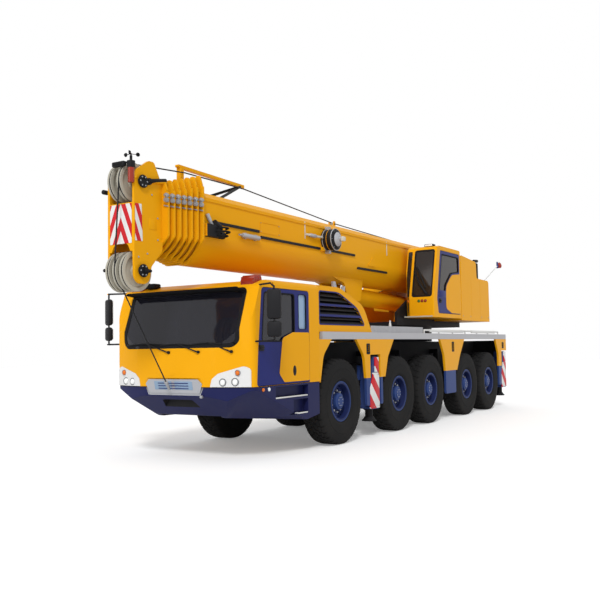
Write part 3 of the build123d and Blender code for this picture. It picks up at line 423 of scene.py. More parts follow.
@dataclass(frozen=True)
class GlassFinish(Finish):
    """Tinted glass with a faint film on it."""

    film: float = 0.012
    relief: float = 0.0
    slot: str = "glass"
    transmission: float = 0.85

    def _constants(self) -> Feeds:
        """Return the shader's even inputs, those of clear glass among them."""
        return {**super()._constants(), "Transmission Weight": self.transmission, "IOR": 1.45}


YELLOW = (0.81, 0.37, 0.005)
BLUE = (0.012, 0.018, 0.14)
LIGHT_BLUE = (0.028, 0.056, 0.195)
NAVY = (0.012, 0.015, 0.075)
PAINT_YELLOW = Finish("warm_yellow_paint", YELLOW, 0.36, coat=0.01, film=0.015, shine=0.05)
# Darker orange of the section tubes: grease gloss, and painted shade for the gaps between the
# collars.
GREASED_SHADED_YELLOW = Finish(
    "greased_orange_with_painted_shade", (0.5, 0.185, 0.01), 0.28, coat=0.05, film=0.04, shine=0.15
)
PAINT_BLUE = Finish(
    "dark_blue_paint", BLUE, 0.36, coat=0.02, film=0.012, slot="blue_paint", shine=0.1
)
SIDE_PAINT = SplitFinish(
    "fender_yellow_over_blue", YELLOW, 0.36, coat=0.02, film=0.025, second=LIGHT_BLUE,
    third=NAVY, part_x=3.475, shine=0.08,
)
SKIRT_BLUE = Finish(
    "skirt_blue_paint", LIGHT_BLUE, 0.36, coat=0.02, slot="blue_paint", shine=0.12
)
RIM_BLUE = Finish(
    "rim_blue_paint", (0.013, 0.022, 0.092), coat=0.02, film=0.025, relief=0.0008,
    slot="blue_paint", shine=0.08,
)
# Lighter blue on the hub's face and the rim's lip: painted highlight where these raised parts catch
# the light.
HUB_HIGHLIGHT_BLUE = Finish(
    "hub_and_lip_highlight_blue", (0.022, 0.05, 0.18), coat=0.03, film=0.02, relief=0.0008,
    slot="blue_paint", shine=0.12,
)
NOSE_BLUE = Finish("nose_pale_blue_paint", (0.24, 0.34, 0.47), slot="blue_paint")
DECK_GREY = Finish(
    "deck_pale_grey_paint", (0.44, 0.44, 0.46), 0.5, film=0.1, grain=120.0, relief=0.002,
    slot="grey_paint",
)
RAIL_WHITE = Finish("rail_white_paint", (0.7, 0.7, 0.69), 0.45, film=0.06, slot="grey_paint")
FRAME_GREY = Finish(
    "frame_dark_grey_paint", (0.016, 0.016, 0.019), 0.6, film=0.04, grain=90.0, relief=0.002,
    slot="grey_paint", shine=0.1,
)
SILVER = Finish(
    "silver_paint", (0.42, 0.43, 0.46), 0.42, 0.25, film=0.05, relief=0.0008, slot="grey_paint"
)
LAMP_PANEL = Finish("lamp_panel_pale", (0.7, 0.7, 0.7), 0.38, relief=0.0005, slot="grey_paint")
STRAP_PALE = Finish(
    "pale_strap", (0.62, 0.6, 0.52), 0.6, film=0.05, relief=0.001, slot="grey_paint"
)
ENAMEL = Finish(
    "black_steel_enamel", (0.011, 0.011, 0.013), 0.5, film=0.015, relief=0.001,
    slot="black_steel", shine=0.1,
)
MOULDING = Finish(
    "black_moulding", (0.014, 0.014, 0.016), 0.55, film=0.015, grain=220.0, relief=0.0012,
    slot="black_steel", shine=0.12,
)
SEAL = Finish(
    "seal_rubber", (0.01, 0.01, 0.011), 0.7, film=0.02, relief=0.0004, slot="black_steel",
    shine=0.1,
)
TYRE_RUBBER = Finish(
    "tyre_rubber_compound", (0.015, 0.015, 0.0155), 0.85, film=0.02, grain=150.0,
    relief=0.002, slot="tyre_rubber", shine=0.1,
)
ROPE_STEEL = Finish(
    "greased_wire_rope", (0.02, 0.02, 0.022), 0.5, 0.4, film=0.05, grain=260.0, relief=0.004,
    slot="black_steel", edge=0.0,
)
ZINC = Finish("bright_steel_zinc", (0.36, 0.37, 0.39), 0.45, 0.35, slot="bright_steel")
ROD_CHROME = Finish(
    "cylinder_rod_chrome", (0.7, 0.71, 0.73), 0.16, 1.0, film=0.02, relief=0.0,
    slot="bright_steel",
)
CREAM_NYLON = Finish(
    "cream_nylon_sheave", (0.47, 0.445, 0.37), 0.5, relief=0.001, slot="cream_nylon"
)
AMBER_LENS = LensFinish("amber_lens", (0.72, 0.16, 0.008), 0.2, coat=0.4)
RED_LENS = LensFinish("dark_red_lens", (0.3, 0.022, 0.008), 0.22, coat=0.4)
CLEAR_LENS = LensFinish("clear_lens", (0.88, 0.89, 0.88), 0.12, coat=0.9)
GREEN_LENS = LensFinish("green_lens", (0.03, 0.16, 0.03), 0.18, coat=0.8)
QUARTER_GLASS = GlassFinish(
    "pale_blue_glass", (0.3, 0.47, 0.7), 0.08, coat=0.5, film=0.02, transmission=0.25
)
CAB_GLASS = GlassFinish(
    "dark_tinted_glass", (0.035, 0.035, 0.052), 0.05, transmission=0.7, shine=0.11
)
CRANE_GLASS = GlassFinish(
    "brown_tinted_glass", (0.05, 0.036, 0.03), 0.05, transmission=0.6, shine=0.06
)
SIDE_BANDS = BandFinish("outrigger_side_bands", lean=-1.1)
FRONT_BANDS = BandFinish("outrigger_end_bands", across=Axis.Y, lean=1.1, mirror=True)
HEAD_CHEVRON = BandFinish(
    "head_warning_chevron", film=0.02, across=Axis.Y, pitch=0.4, lean=2.4, mirror=True
)
HEAD_SIDE_BANDS = BandFinish("head_side_warning_bands", film=0.02, pitch=0.4, lean=-2.4)
SEAT_FABRIC = FabricFinish(
    "seat_grey_fabric", (0.035, 0.035, 0.045), 0.9, film=0.02, grain=300.0, relief=0.003,
    slot="black_steel", edge=0.0, shine=0.1,
)


# ---------------- mesh tools
IDENTITY = Matrix.Identity(4)
SHARP_ANGLE = math.radians(32.0)
REGION_ANGLE = math.radians(16.0)
RIM_ANGLE = math.radians(60.0)
MERGE_DISTANCE = 1e-5
UP = (0.0, 0.0, 1.0)
ACROSS = (0.0, 1.0, 0.0)
AHEAD = (1.0, 0.0, 0.0)
ASTERN = (-1.0, 0.0, 0.0)


@dataclass(frozen=True)
class Zone:
    """A box round surfaces of the crane at rest that take another finish.

    With both_sides, y is read as a distance from the middle plane.
    """

    low: Point
    high: Point
    finish: Finish
    both_sides: bool = True

    def holds(self, points: Iterable[Vector]) -> bool:
        """Return whether every point lies in the box.

        Args:
            points: Points of one surface.

        Returns:
            True when the box holds them all.
        """
        for point in points:
            place = (point.x, abs(point.y) if self.both_sides else point.y, point.z)
            if any(not a <= p <= b for a, p, b in zip(self.low, place, self.high)):
                return False
        return True


def facing(centre: Spot, axis: Spot) -> Matrix:
    """Return the frame at a centre with its local Z along an axis."""
    turn = Vector(axis).to_track_quat("Z", "Y").to_matrix().to_4x4()
    return Matrix.Translation(Vector(centre)) @ turn


def turned(degrees: float, axis: str) -> Matrix:
    """Return a rotation about an axis."""
    return Matrix.Rotation(math.radians(degrees), 4, axis)


def turns(count: int, shift: float = 0.0) -> list[Pair]:
    """Return the cosine and sine of evenly spaced angles, shifted by a part of a step."""
    angles = [math.tau * (index + shift) / count for index in range(count)]
    return [(math.cos(angle), math.sin(angle)) for angle in angles]


def rectangle(x0: float, x1: float, z0: float, z1: float) -> tuple[Pair, ...]:
    """Return the corners of a rectangle in order."""
    return ((x0, z0), (x1, z0), (x1, z1), (x0, z1))


def on_side(outline: Iterable[Pair], y: float) -> list[Point]:
    """Return an outline of (x, z) on a plane of constant y."""
    return [(x, y, z) for x, z in outline]


def soften(
    mesh: Mesh, items: list, offset: float, segments: int = 2, affect: str = "EDGES"
) -> None:
    """Bevel some edges or corners of a mesh.

    Args:
        mesh: The mesh.
        items: Its edges or corners to bevel.
        offset: Size of the bevel.
        segments: Steps of the bevel.
        affect: EDGES or VERTICES.
    """
    bmesh.ops.bevel(
        mesh, geom=items, offset=offset, segments=segments, profile=0.5, affect=affect,
        material=-1, clamp_overlap=True,
    )


def flat_face(corners: Iterable[Spot]) -> Mesh:
    """Start a mesh with one face.

    Args:
        corners: The face's corners in order.

    Returns:
        The mesh.
    """
    mesh = bmesh.new()
    mesh.faces.new([mesh.verts.new(corner) for corner in corners])
    return mesh


def hollow(mesh: Mesh, width: float) -> None:
    """Keep only a ring inside the outline of a flat face.

    Args:
        mesh: The face.
        width: Width of the ring.
    """
    inner = mesh.faces[:]
    bmesh.ops.inset_region(
        mesh, faces=inner, thickness=width, use_even_offset=True, use_boundary=True
    )
    bmesh.ops.delete(mesh, geom=inner, context="FACES")


def thicken(mesh: Mesh, depth: Spot) -> None:
    """Give flat faces a thickness.

    Args:
        mesh: The faces.
        depth: Vector of the thickness.
    """
    made = bmesh.ops.extrude_face_region(mesh, geom=mesh.faces[:])
    lifted = [item for item in made["geom"] if isinstance(item, bmesh.types.BMVert)]
    bmesh.ops.translate(mesh, vec=Vector(depth), verts=lifted)


def pour(part: Mesh, whole: Mesh) -> None:
    """Move a part into a whole mesh and free it.

    Args:
        part: Mesh to move.
        whole: Mesh that takes it in.
    """
    store = bpy.data.meshes.new("store")
    part.to_mesh(store)
    part.free()
    whole.from_mesh(store)
    bpy.data.meshes.remove(store)


def smooth_regions(mesh: Mesh) -> list[list[bmesh.types.BMFace]]:
    """Find the groups of faces that join without a sharp edge between them.

    Args:
        mesh: The mesh.

    Returns:
        The groups.
    """
    seen: set[bmesh.types.BMFace] = set()
    groups = []
    for start in mesh.faces:
        if start in seen:
            continue
        seen.add(start)
        group, stack = [], [start]
        while stack:
            face = stack.pop()
            group.append(face)
            for edge in face.edges:
                if len(edge.link_faces) != 2 or edge.calc_face_angle(0.0) > REGION_ANGLE:
                    continue
                for other in edge.link_faces:
                    if other not in seen:
                        seen.add(other)
                        stack.append(other)
        groups.append(group)
    return groups


def round_corners(mesh: Mesh, rounding: float | Spot) -> None:
    """Round the corners of a flat face.

    Args:
        mesh: The face.
        rounding: One radius for all corners, or the radius of each.
    """
    corners = list(mesh.verts)
    radii = [rounding] * len(corners) if isinstance(rounding, float) else list(rounding)
    spots = [corner.co.copy() for corner in corners]
    for index, (corner, radius) in enumerate(zip(corners, radii)):
        if radius > 0.0:
            back = spots[index - 1] - spots[index]
            ahead = spots[(index + 1) % len(spots)] - spots[index]
            reach = radius / math.tan(back.angle(ahead) / 2)
            soften(mesh, [corner], reach, 8, "VERTICES")


class Piece:
    """A mesh being made, the finishes on it and the body that it rides on."""

    def __init__(self, name: str, body: str) -> None:
        """Start an empty piece.

        Args:
            name: Name of the object that it becomes.
            body: Body that it rides on.
        """
        self.name = name
        self.body = body
        self.mesh = bmesh.new()
        self.finishes: list[Finish] = []

    def _index(self, finish: Finish) -> int:
        """Return the material index of a finish on this piece.

        Args:
            finish: The finish.

        Returns:
            Its index, a new one where the piece hasn't had it yet.
        """
        if finish not in self.finishes:
            self.finishes.append(finish)
        return self.finishes.index(finish)

    def take(self, part: Mesh, finish: Finish) -> None:
        """Add a finished part to the piece and free it.

        Args:
            part: Mesh of the part.
            finish: Its finish.
        """
        bmesh.ops.recalc_face_normals(part, faces=part.faces[:])
        index = self._index(finish)
        for face in part.faces:
            face.material_index = index
        pour(part, self.mesh)

    def block(
        self, low: Spot, high: Spot, finish: Finish, bevel: float = 0.004, turn: Matrix = IDENTITY
    ) -> None:
        """Add a bevelled block.

        Args:
            low: Lowest corner.
            high: Highest corner.
            finish: Its finish.
            bevel: Edge bevel.
            turn: Rotation about the block's own middle.
        """
        first, last = Vector(low), Vector(high)
        size = last - first
        place = Matrix.Translation((first + last) / 2) @ turn
        place = place @ Matrix.Diagonal((abs(size.x), abs(size.y), abs(size.z), 1.0))
        part = bmesh.new()
        bmesh.ops.create_cube(part, size=1.0, matrix=place)
        if bevel:
            soften(part, part.edges[:], bevel)
        self.take(part, finish)

    def rod(
        self, start: Spot, end: Spot, radius: float, finish: Finish,
        far_radius: float | None = None, segments: int = 20, bevel: float = 0.0,
    ) -> None:
        """Add a round bar or cone between two points.

        Args:
            start: Middle of one end.
            end: Middle of the other end.
            radius: Radius at the start.
            finish: Its finish.
            far_radius: Radius at the end, when it differs.
            segments: Sides of the bar.
            bevel: Bevel round both ends.
        """
        first, last = Vector(start), Vector(end)
        far = radius if far_radius is None else far_radius
        part = bmesh.new()
        bmesh.ops.create_cone(
            part, cap_ends=True, cap_tris=False, segments=segments, radius1=radius,
            radius2=far, depth=(last - first).length,
            matrix=facing((first + last) / 2, last - first),
        )
        if bevel:
            rims = [e for e in part.edges if any(len(f.verts) > 4 for f in e.link_faces)]
            soften(part, rims, bevel)
        self.take(part, finish)

    def bolts(self, feet: Iterable[Spot], reach: Spot, radius: float, bevel: float = 0.0) -> None:
        """Add zinc-plated hexagon bolts.

        Args:
            feet: Middle of each bolt's foot.
            reach: From the foot to the middle of the head's face.
            radius: Radius over the corners.
            bevel: Bevel of the head.
        """
        for foot in feet:
            start = Vector(foot)
            end = start + Vector(reach)
            self.rod(start, end, radius, ZINC, segments=6, bevel=bevel)

    def spun(
        self, profile: Sequence[Pair], place: Matrix, finish: Finish, segments: int = 48
    ) -> None:
        """Add a turned shape.

        Args:
            profile: (distance along the axis, radius) from one end to the other.
            place: Frame whose local Z is the axis.
            finish: Its finish.
            segments: Steps of the turn.
        """
        part = bmesh.new()
        ring = [part.verts.new((radius, 0.0, along)) for along, radius in profile]
        for first, last in zip(ring, ring[1:]):
            part.edges.new((first, last))
        bmesh.ops.spin(
            part, geom=part.verts[:] + part.edges[:], cent=(0, 0, 0), axis=UP,
            angle=math.tau, steps=segments, use_merge=True,
        )
        bmesh.ops.remove_doubles(part, verts=part.verts[:], dist=MERGE_DISTANCE)
        bmesh.ops.transform(part, matrix=place, verts=part.verts[:])
        self.take(part, finish)

    def bend(
        self, centre: Spot, radius: float, axis: Spot, start: Spot, sweep: float,
        thickness: float, finish: Finish, segments: int = 16,
    ) -> None:
        """Add a round bar bent on an arc.

        Args:
            centre: Middle of the arc.
            radius: Radius of the arc.
            axis: Axis that the arc turns about.
            start: Direction from the centre to the arc's start.
            sweep: Angle of the arc in degrees.
            thickness: Radius of the bar.
            finish: Its finish.
            segments: Steps of the arc.
        """
        out = Vector(start).normalized()
        heading = Vector(axis).cross(out)
        middle = Vector(centre) + out * radius
        part = bmesh.new()
        bmesh.ops.create_circle(
            part, cap_ends=True, radius=thickness, segments=10, matrix=facing(middle, heading)
        )
        bmesh.ops.spin(
            part, geom=part.verts[:] + part.edges[:] + part.faces[:], cent=Vector(centre),
            axis=Vector(axis).normalized(), angle=math.radians(sweep), steps=segments,
        )
        bmesh.ops.remove_doubles(part, verts=part.verts[:], dist=MERGE_DISTANCE)
        self.take(part, finish)

    def plate(
        self, corners: Sequence[Spot], depth: Spot, finish: Finish,
        rounding: float | Spot = 0.0, bevel: float = 0.0,
    ) -> None:
        """Add a flat plate.

        Args:
            corners: Corners of one face in order.
            depth: Vector of the thickness.
            finish: Its finish.
            rounding: Radius of the corners.
            bevel: Bevel of the face edges.
        """
        part = flat_face(corners)
        round_corners(part, rounding)
        thicken(part, depth)
        if bevel:
            rims = [e for e in part.edges if e.calc_face_angle(0.0) > RIM_ANGLE]
            soften(part, rims, bevel)
        self.take(part, finish)

    def frame(
        self, corners: Sequence[Spot], width: float, depth: Spot, finish: Finish,
        rounding: float | Spot = 0.05,
    ) -> None:
        """Add a flat ring that runs inside an outline.

        Args:
            corners: Corners of the outline in order.
            width: Width of the ring.
            depth: Vector of the thickness.
            finish: Its finish.
            rounding: Radius of the outer corners.
        """
        part = flat_face(corners)
        round_corners(part, rounding)
        hollow(part, width)
        thicken(part, depth)
        self.take(part, finish)

    def ball(self, centre: Spot, radii: Spot, finish: Finish, segments: int = 20) -> None:
        """Add a ball stretched along the three axes.

        Args:
            centre: Its middle.
            radii: Its radius along each axis.
            finish: Its finish.
            segments: Steps round its equator.
        """
        part = bmesh.new()
        stretch = Matrix.Diagonal((*radii, 1.0))
        bmesh.ops.create_uvsphere(
            part, u_segments=segments, v_segments=segments // 2, radius=1.0,
            matrix=Matrix.Translation(Vector(centre)) @ stretch,
        )
        self.take(part, finish)

    def copy_node(
        self, node: bpy.types.Object, base: Finish, zones: Sequence[Zone] = (),
        keep: Callable[[Vector], bool] | None = None,
    ) -> None:
        """Take over a frame node's shape, with other finishes on some of its surfaces.

        Args:
            node: The frame's node.
            base: Finish of all surfaces that no zone takes.
            zones: Boxes with other finishes; the first that holds a surface counts.
            keep: Test of a surface's middle that says whether it is kept.
        """
        part = bmesh.new()
        part.from_mesh(node.data)
        bmesh.ops.remove_doubles(part, verts=part.verts[:], dist=MERGE_DISTANCE)
        base_index = self._index(base)
        indices = [self._index(zone.finish) for zone in zones]
        dropped = []
        for group in smooth_regions(part):
            points = {vert for face in group for vert in face.verts}
            places = [vert.co for vert in points]
            if keep and not keep(sum(places, Vector()) / len(places)):
                dropped.extend(group)
                continue
            held = (at for zone, at in zip(zones, indices) if zone.holds(places))
            index = next(held, base_index)
            for face in group:
                face.material_index = index
        if dropped:
            bmesh.ops.delete(part, geom=dropped, context="FACES")
        pour(part, self.mesh)

    def done(self, *replaced: str) -> bpy.types.Object:
        """Make the object, put it on its body and report it.

        Args:
            replaced: Frame nodes that it stands for.

        Returns:
            The finished object.
        """
        for edge in self.mesh.edges:
            two = len(edge.link_faces) == 2
            edge.smooth = two and edge.calc_face_angle(0.0) < SHARP_ANGLE
        for face in self.mesh.faces:
            face.smooth = True
        data = bpy.data.meshes.new(self.name)
        self.mesh.to_mesh(data)
        self.mesh.free()
        for finish in self.finishes:
            data.materials.append(finish.material())
        made = bpy.data.objects.new(self.name, data)
        bpy.context.scene.collection.objects.link(made)
        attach(made, self.body)
        if replaced:
            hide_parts(*replaced)
        log.info("%s: %d faces on %s", self.name, len(data.polygons), self.body)
        return made


@dataclass(frozen=True)
class Cushion:
    """A stuffed seat part: crowned, pulled in between its corners and sewn in channels."""

    name: str
    body: str
    centre: Point
    half: Point
    lean: float = -4.0
    channels: tuple[float, ...] = (-0.46, 0.46)
    fill: float = 0.7

    CUTS = 21
    EDGE_SHARE = 0.42
    PULL = 0.055
    ROUND = 0.16
    BARREL = 0.05
    BASE_CROWN = 0.35
    CHANNEL_DEPTH = 0.2
    CHANNEL_WIDTH = 0.06
    PIPING = 0.0055
    PIPING_SIDES = 8
    PIPING_STEPS = 16

    def _spot(self, u: float, v: float, w: float) -> Vector:
        """Return the cushion's point for a point of the cube from -1 to 1.

        Args:
            u: Place along the cushion.
            v: Place across it.
            w: Place through it.

        Returns:
            The point.
        """
        along = u * math.sqrt(1.0 - self.ROUND * v * v)
        across = v * math.sqrt(1.0 - self.ROUND * u * u)
        along *= 1.0 - self.PULL * (1.0 - v * v) * abs(u) ** 3 - self.BARREL * w * w
        across *= 1.0 - self.PULL * (1.0 - u * u) * abs(v) ** 3 - self.BARREL * w * w
        swell = math.sqrt((1.0 - u**4) * (1.0 - v**4))
        crown = 1.0 if w > 0.0 else self.BASE_CROWN
        thick = self.EDGE_SHARE + (1.0 - self.EDGE_SHARE) * swell * crown
        if w > 0.0:
            dip = sum(math.exp(-(((v - at) / self.CHANNEL_WIDTH) ** 2)) for at in self.channels)
            thick -= self.CHANNEL_DEPTH * dip * (1.0 - u**6)
        half = self.half
        return Vector((along * half[0], across * half[1], w * thick * half[2]))

    def make(self) -> bpy.types.Object:
        """Returns:
            The finished cushion.
        """
        place = Matrix.Translation(Vector(self.centre)) @ turned(self.lean, "Y")
        piece = Piece(self.name, self.body)
        pad = bmesh.new()
        bmesh.ops.create_cube(pad, size=2.0)
        bmesh.ops.subdivide_edges(pad, edges=pad.edges[:], cuts=self.CUTS, use_grid_fill=True)
        for vert in pad.verts:
            vert.co = self._spot(*vert.co)
        bmesh.ops.transform(pad, matrix=place, verts=pad.verts[:])
        piece.take(pad, SEAT_FABRIC)
        piece.take(self._piping(place), SEAL)
        return piece.done()

    def _piping(self, place: Matrix) -> Mesh:
        """Return the cord sewn round the cushion's edge.

        Args:
            place: The cushion's frame.

        Returns:
            The cord's mesh.
        """
        steps = [2.0 * index / self.PIPING_STEPS - 1.0 for index in range(self.PIPING_STEPS)]
        rim = [(a, -1.0) for a in steps] + [(1.0, a) for a in steps]
        rim += [(-a, 1.0) for a in steps] + [(-1.0, -a) for a in steps]
        path = [place @ self._spot(u, v, 0.0) for u, v in rim]
        up = (place.to_3x3() @ Vector(UP)).normalized()
        piping = bmesh.new()
        rings = []
        for index, point in enumerate(path):
            ahead = path[(index + 1) % len(path)] - path[index - 1]
            out = ahead.cross(up).normalized()
            rings.append([
                piping.verts.new(point + (out * cosine + up * sine) * self.PIPING)
                for cosine, sine in turns(self.PIPING_SIDES)
            ])
        for ring, following in zip(rings, rings[1:] + rings[:1]):
            for side in range(self.PIPING_SIDES):
                after = (side + 1) % self.PIPING_SIDES
                piping.faces.new((ring[side], ring[after], following[after], following[side]))
        return piping


@dataclass
class Assembly:
    """A group of pieces of the crane, built and then dressed."""

    nodes: dict[str, bpy.types.Object]

    def build(self) -> None:
        """Build the pieces that stand in for frame nodes."""

    def dress(self) -> None:
        """Add the trim."""

    def glaze(self, name: str, glass: Finish) -> None:
        """Put a glass on every material slot of a frame node."""
        for material_slot in self.nodes[name].material_slots:
            material_slot.material = glass.material()

    def redress(self, name: str, body: str, base: Finish, *zones: Zone) -> None:
        """Stand a piece of the same shape with several finishes in for a frame node.

        Args:
            name: The node's name.
            body: Body that it rides on.
            base: Finish of the surfaces that no zone takes.
            zones: Boxes with other finishes.
        """
        piece = Piece(f"{name}_dressed", body)
        piece.copy_node(self.nodes[name], base, zones)
        piece.done(name)


# ---------------- wheels
AXLE_STATIONS: tuple[tuple[int, float, bool], ...] = (
    (1, 2.7, True), (2, 0.3, True), (3, -1.35, False), (4, -3.6, True), (5, -5.25, True)
)
# distance from the tyre's middle plane, radius
TYRE_PROFILE: tuple[Pair, ...] = (
    (-0.165, 0.319), (-0.166, 0.352), (-0.184, 0.372), (-0.192, 0.38), (-0.199, 0.402),
    (-0.204, 0.405), (-0.205, 0.418), (-0.209, 0.45), (-0.213, 0.52), (-0.214, 0.56),
    (-0.209, 0.563), (-0.209, 0.575), (-0.212, 0.58), (-0.207, 0.63), (-0.203, 0.66),
    (-0.197, 0.692), (-0.186, 0.716), (-0.155, 0.729), (0.0, 0.731),
)
# inner y, outer y, share of the pitch, turn by part of the pitch, lean in degrees
TREAD_ROWS: Rows = (
    (0.005, 0.055, 0.86, 0.0, 14.0),
    (-0.055, -0.005, 0.86, 0.5, 14.0),
    (0.062, 0.118, 0.84, 0.35, -8.0),
    (-0.118, -0.062, 0.84, 0.85, -8.0),
)


@dataclass
class Wheels(Assembly):
    """Tyres with tread, and rims with nuts and hub caps."""

    radius: float = 0.745
    axle_z: float = 0.745
    centre_y: float = 1.16
    lug_count: int = 34
    groove: float = 0.016
    # length, depth, middle z and share of the pitch of a shoulder lug
    lug: tuple[float, float, float, float] = (0.061, 0.036, 0.1545, 0.78)
    # z past which its corners drop, drop at the top and at the foot, z of the foot
    shoulder: tuple[float, float, float, float] = (0.18, 0.012, 0.026, 0.202)
    nut_count: int = 10
    nut_circle: float = 0.186
    nut_radius: float = 0.019
    disc_face: float = 0.076
    cap_bolt_count: int = 8
    cap_bolt_circle: float = 0.076
    nose: float = 0.172
    hub_half: float = 0.153

    def build(self) -> None:
        """Build every tyre and rim."""
        tread = self._tread()
        for number, axle_x, _ in AXLE_STATIONS:
            for side_name, side in SIDES:
                self._tyre(f"{number}_{side_name}", axle_x, side, tread)
                self._rim(f"{number}_{side_name}", axle_x, side)
        bpy.data.meshes.remove(tread)

    def _tread(self) -> bpy.types.Mesh:
        """Return the tread round one tyre, about the local Z axis.

        Returns:
            The mesh of the tread.
        """
        pitch = math.tau / self.lug_count
        arc = pitch * self.radius
        part = bmesh.new()
        for inner, outer, share, shift, lean in TREAD_ROWS:
            middle = (self.radius - self.groove / 2, 0.0, (inner + outer) / 2)
            place = Matrix.Translation(middle) @ turned(lean, "X")
            place = place @ Matrix.Diagonal((self.groove, arc * share, outer - inner, 1.0))
            row = bmesh.new()
            bmesh.ops.create_cube(row, size=1.0, matrix=place)
            self._swing(row, pitch * shift, part)
        length, depth, middle_z, share = self.lug
        past, drop, foot_drop, foot_z = self.shoulder
        for way in (1.0, -1.0):
            place = Matrix.Translation((self.radius - depth / 2, 0.0, way * middle_z))
            place = place @ Matrix.Diagonal((depth, arc * share, length, 1.0))
            lug = bmesh.new()
            bmesh.ops.create_cube(lug, size=1.0, matrix=place)
            for vert in lug.verts:
                if abs(vert.co.z) > past and vert.co.x > self.radius - depth / 2:
                    vert.co.x -= drop
                elif abs(vert.co.z) > past:
                    vert.co.z = way * foot_z
                    vert.co.x -= foot_drop
            self._swing(lug, pitch * 0.25 * (1 + way), part)
        soften(part, part.edges[:], 0.003, 1)
        single = part.verts[:] + part.edges[:] + part.faces[:]
        bmesh.ops.spin(
            part, geom=single, cent=(0, 0, 0), axis=UP, angle=math.tau - pitch,
            steps=self.lug_count - 1, use_duplicate=True,
        )
        bmesh.ops.recalc_face_normals(part, faces=part.faces[:])
        ring = bpy.data.meshes.new("tread_ring")
        part.to_mesh(ring)
        part.free()
        return ring

    @staticmethod
    def _swing(block: Mesh, angle: float, whole: Mesh) -> None:
        """Turn a block about the tyre's axis and move it into the tread.

        Args:
            block: Mesh of the block.
            angle: Turn in radians.
            whole: Mesh of the tread.
        """
        bmesh.ops.rotate(
            block, cent=(0, 0, 0), matrix=Matrix.Rotation(angle, 3, "Z"), verts=block.verts[:]
        )
        pour(block, whole)

    def _place(self, axle_x: float, side: float) -> Matrix:
        """Return a wheel's frame, with local Z outboard."""
        centre = (axle_x, side * self.centre_y, self.axle_z)
        return facing(centre, (0.0, side, 0.0))

    def _tyre(self, tag: str, axle_x: float, side: float, tread: bpy.types.Mesh) -> None:
        """Build one tyre.

        Args:
            tag: Axle and side, as in the frame's names.
            axle_x: Station of the axle.
            side: 1 on the left, -1 on the right.
            tread: The tread round a tyre.
        """
        place = self._place(axle_x, side)
        piece = Piece(f"tyre_{tag}_treaded", f"wheel_{tag}")
        other_half = tuple((-along, radius) for along, radius in reversed(TYRE_PROFILE[:-1]))
        closed = TYRE_PROFILE + other_half + TYRE_PROFILE[:1]
        piece.spun(closed, place, TYRE_RUBBER, segments=72)
        part = bmesh.new()
        part.from_mesh(tread)
        bmesh.ops.transform(part, matrix=place, verts=part.verts[:])
        piece.take(part, TYRE_RUBBER)
        piece.done(f"tyre_{tag}")

    def _rim(self, tag: str, axle_x: float, side: float) -> None:
        """Dress one rim with its nuts, its cap, and a lighter blue on the hub and lip as painted
        highlight.

        Args:
            tag: Axle and side, as in the frame's names.
            axle_x: Station of the axle.
            side: 1 on the left, -1 on the right.
        """
        place = self._place(axle_x, side)
        piece = Piece(f"rim_{tag}_dressed", f"wheel_{tag}")
        half = self.hub_half
        # The hub's face takes the lighter blue: painted highlight.
        hub = Zone(
            (axle_x - half, self.centre_y + 0.066, self.axle_z - half),
            (axle_x + half, self.centre_y + 0.18, self.axle_z + half), HUB_HIGHLIGHT_BLUE,
        )
        piece.copy_node(self.nodes[f"rim_{tag}"], RIM_BLUE, (hub,))
        rings = (
            (self.nut_count, self.nut_circle, self.nut_radius, self.disc_face - 0.004, 0.034),
            (self.cap_bolt_count, self.cap_bolt_circle, 0.009, self.nose - 0.003, 0.008),
        )
        for count, circle, radius, foot, height in rings:
            feet = [
                place @ Vector((circle * cosine, circle * sine, foot))
                for cosine, sine in turns(count, 0.5)
            ]
            piece.bolts(feet, (0.0, side * height, 0.0), radius, radius * 0.15)
        ring = ((0.074, 0.15), (0.08, 0.158), (0.09, 0.158), (0.094, 0.146), (0.094, 0.14))
        piece.spun(ring, place, RIM_BLUE, segments=48)
        # The lip round the rim takes the lighter blue: painted highlight.
        lip = ((0.1785, 0.33), (0.184, 0.336), (0.184, 0.346), (0.1785, 0.352), (0.17, 0.352))
        piece.spun(lip, place, HUB_HIGHLIGHT_BLUE, segments=64)
        piece.done(f"rim_{tag}")


# ---------------- driver's cab
AHEAD_OF_ALL = 8.0
CAB_FRONT = 5.4


def tree_of(node: bpy.types.Object) -> BVHTree:
    """Return the search tree of a frame node's surface.

    Args:
        node: The node.

    Returns:
        The tree.
    """
    part = bmesh.new()
    part.from_mesh(node.data)
    tree = BVHTree.FromBMesh(part)
    part.free()
    return tree


def hit_x(tree: BVHTree, y: float, z: float) -> float:
    """Return the forward station of the surface seen from ahead.

    Args:
        tree: Search tree of the surface.
        y: Where the line of sight runs.
        z: Its height.

    Returns:
        The station, or the cab's front where the line misses.
    """
    found = tree.ray_cast(Vector((AHEAD_OF_ALL, y, z)), Vector(ASTERN))[0]
    return found.x if found else CAB_FRONT


# part, (x, z) of its middle, half sizes, lean, sewn lines across it
SeatPart = tuple[str, Pair, Point, float, tuple[float, ...]]
SEAT_PARTS: tuple[SeatPart, ...] = (
    ("pad", (4.315, 1.655), (0.265, 0.26, 0.085), -4.0, (-0.46, 0.46)),
    ("back", (4.065, 2.02), (0.33, 0.25, 0.075), 82.0, (-0.46, 0.46)),
    ("headrest", (3.985, 2.475), (0.08, 0.135, 0.05), 82.0, ()),
)
OPERATOR_SEAT_PARTS: tuple[SeatPart, ...] = (
    ("pad", (-2.72, 2.835), (0.255, 0.225, 0.08), -4.0, (-0.46, 0.46)),
    ("back", (-2.975, 3.19), (0.31, 0.215, 0.065), 82.0, (-0.46, 0.46)),
    ("headrest", (-3.045, 3.62), (0.085, 0.11, 0.045), 82.0, ()),
)


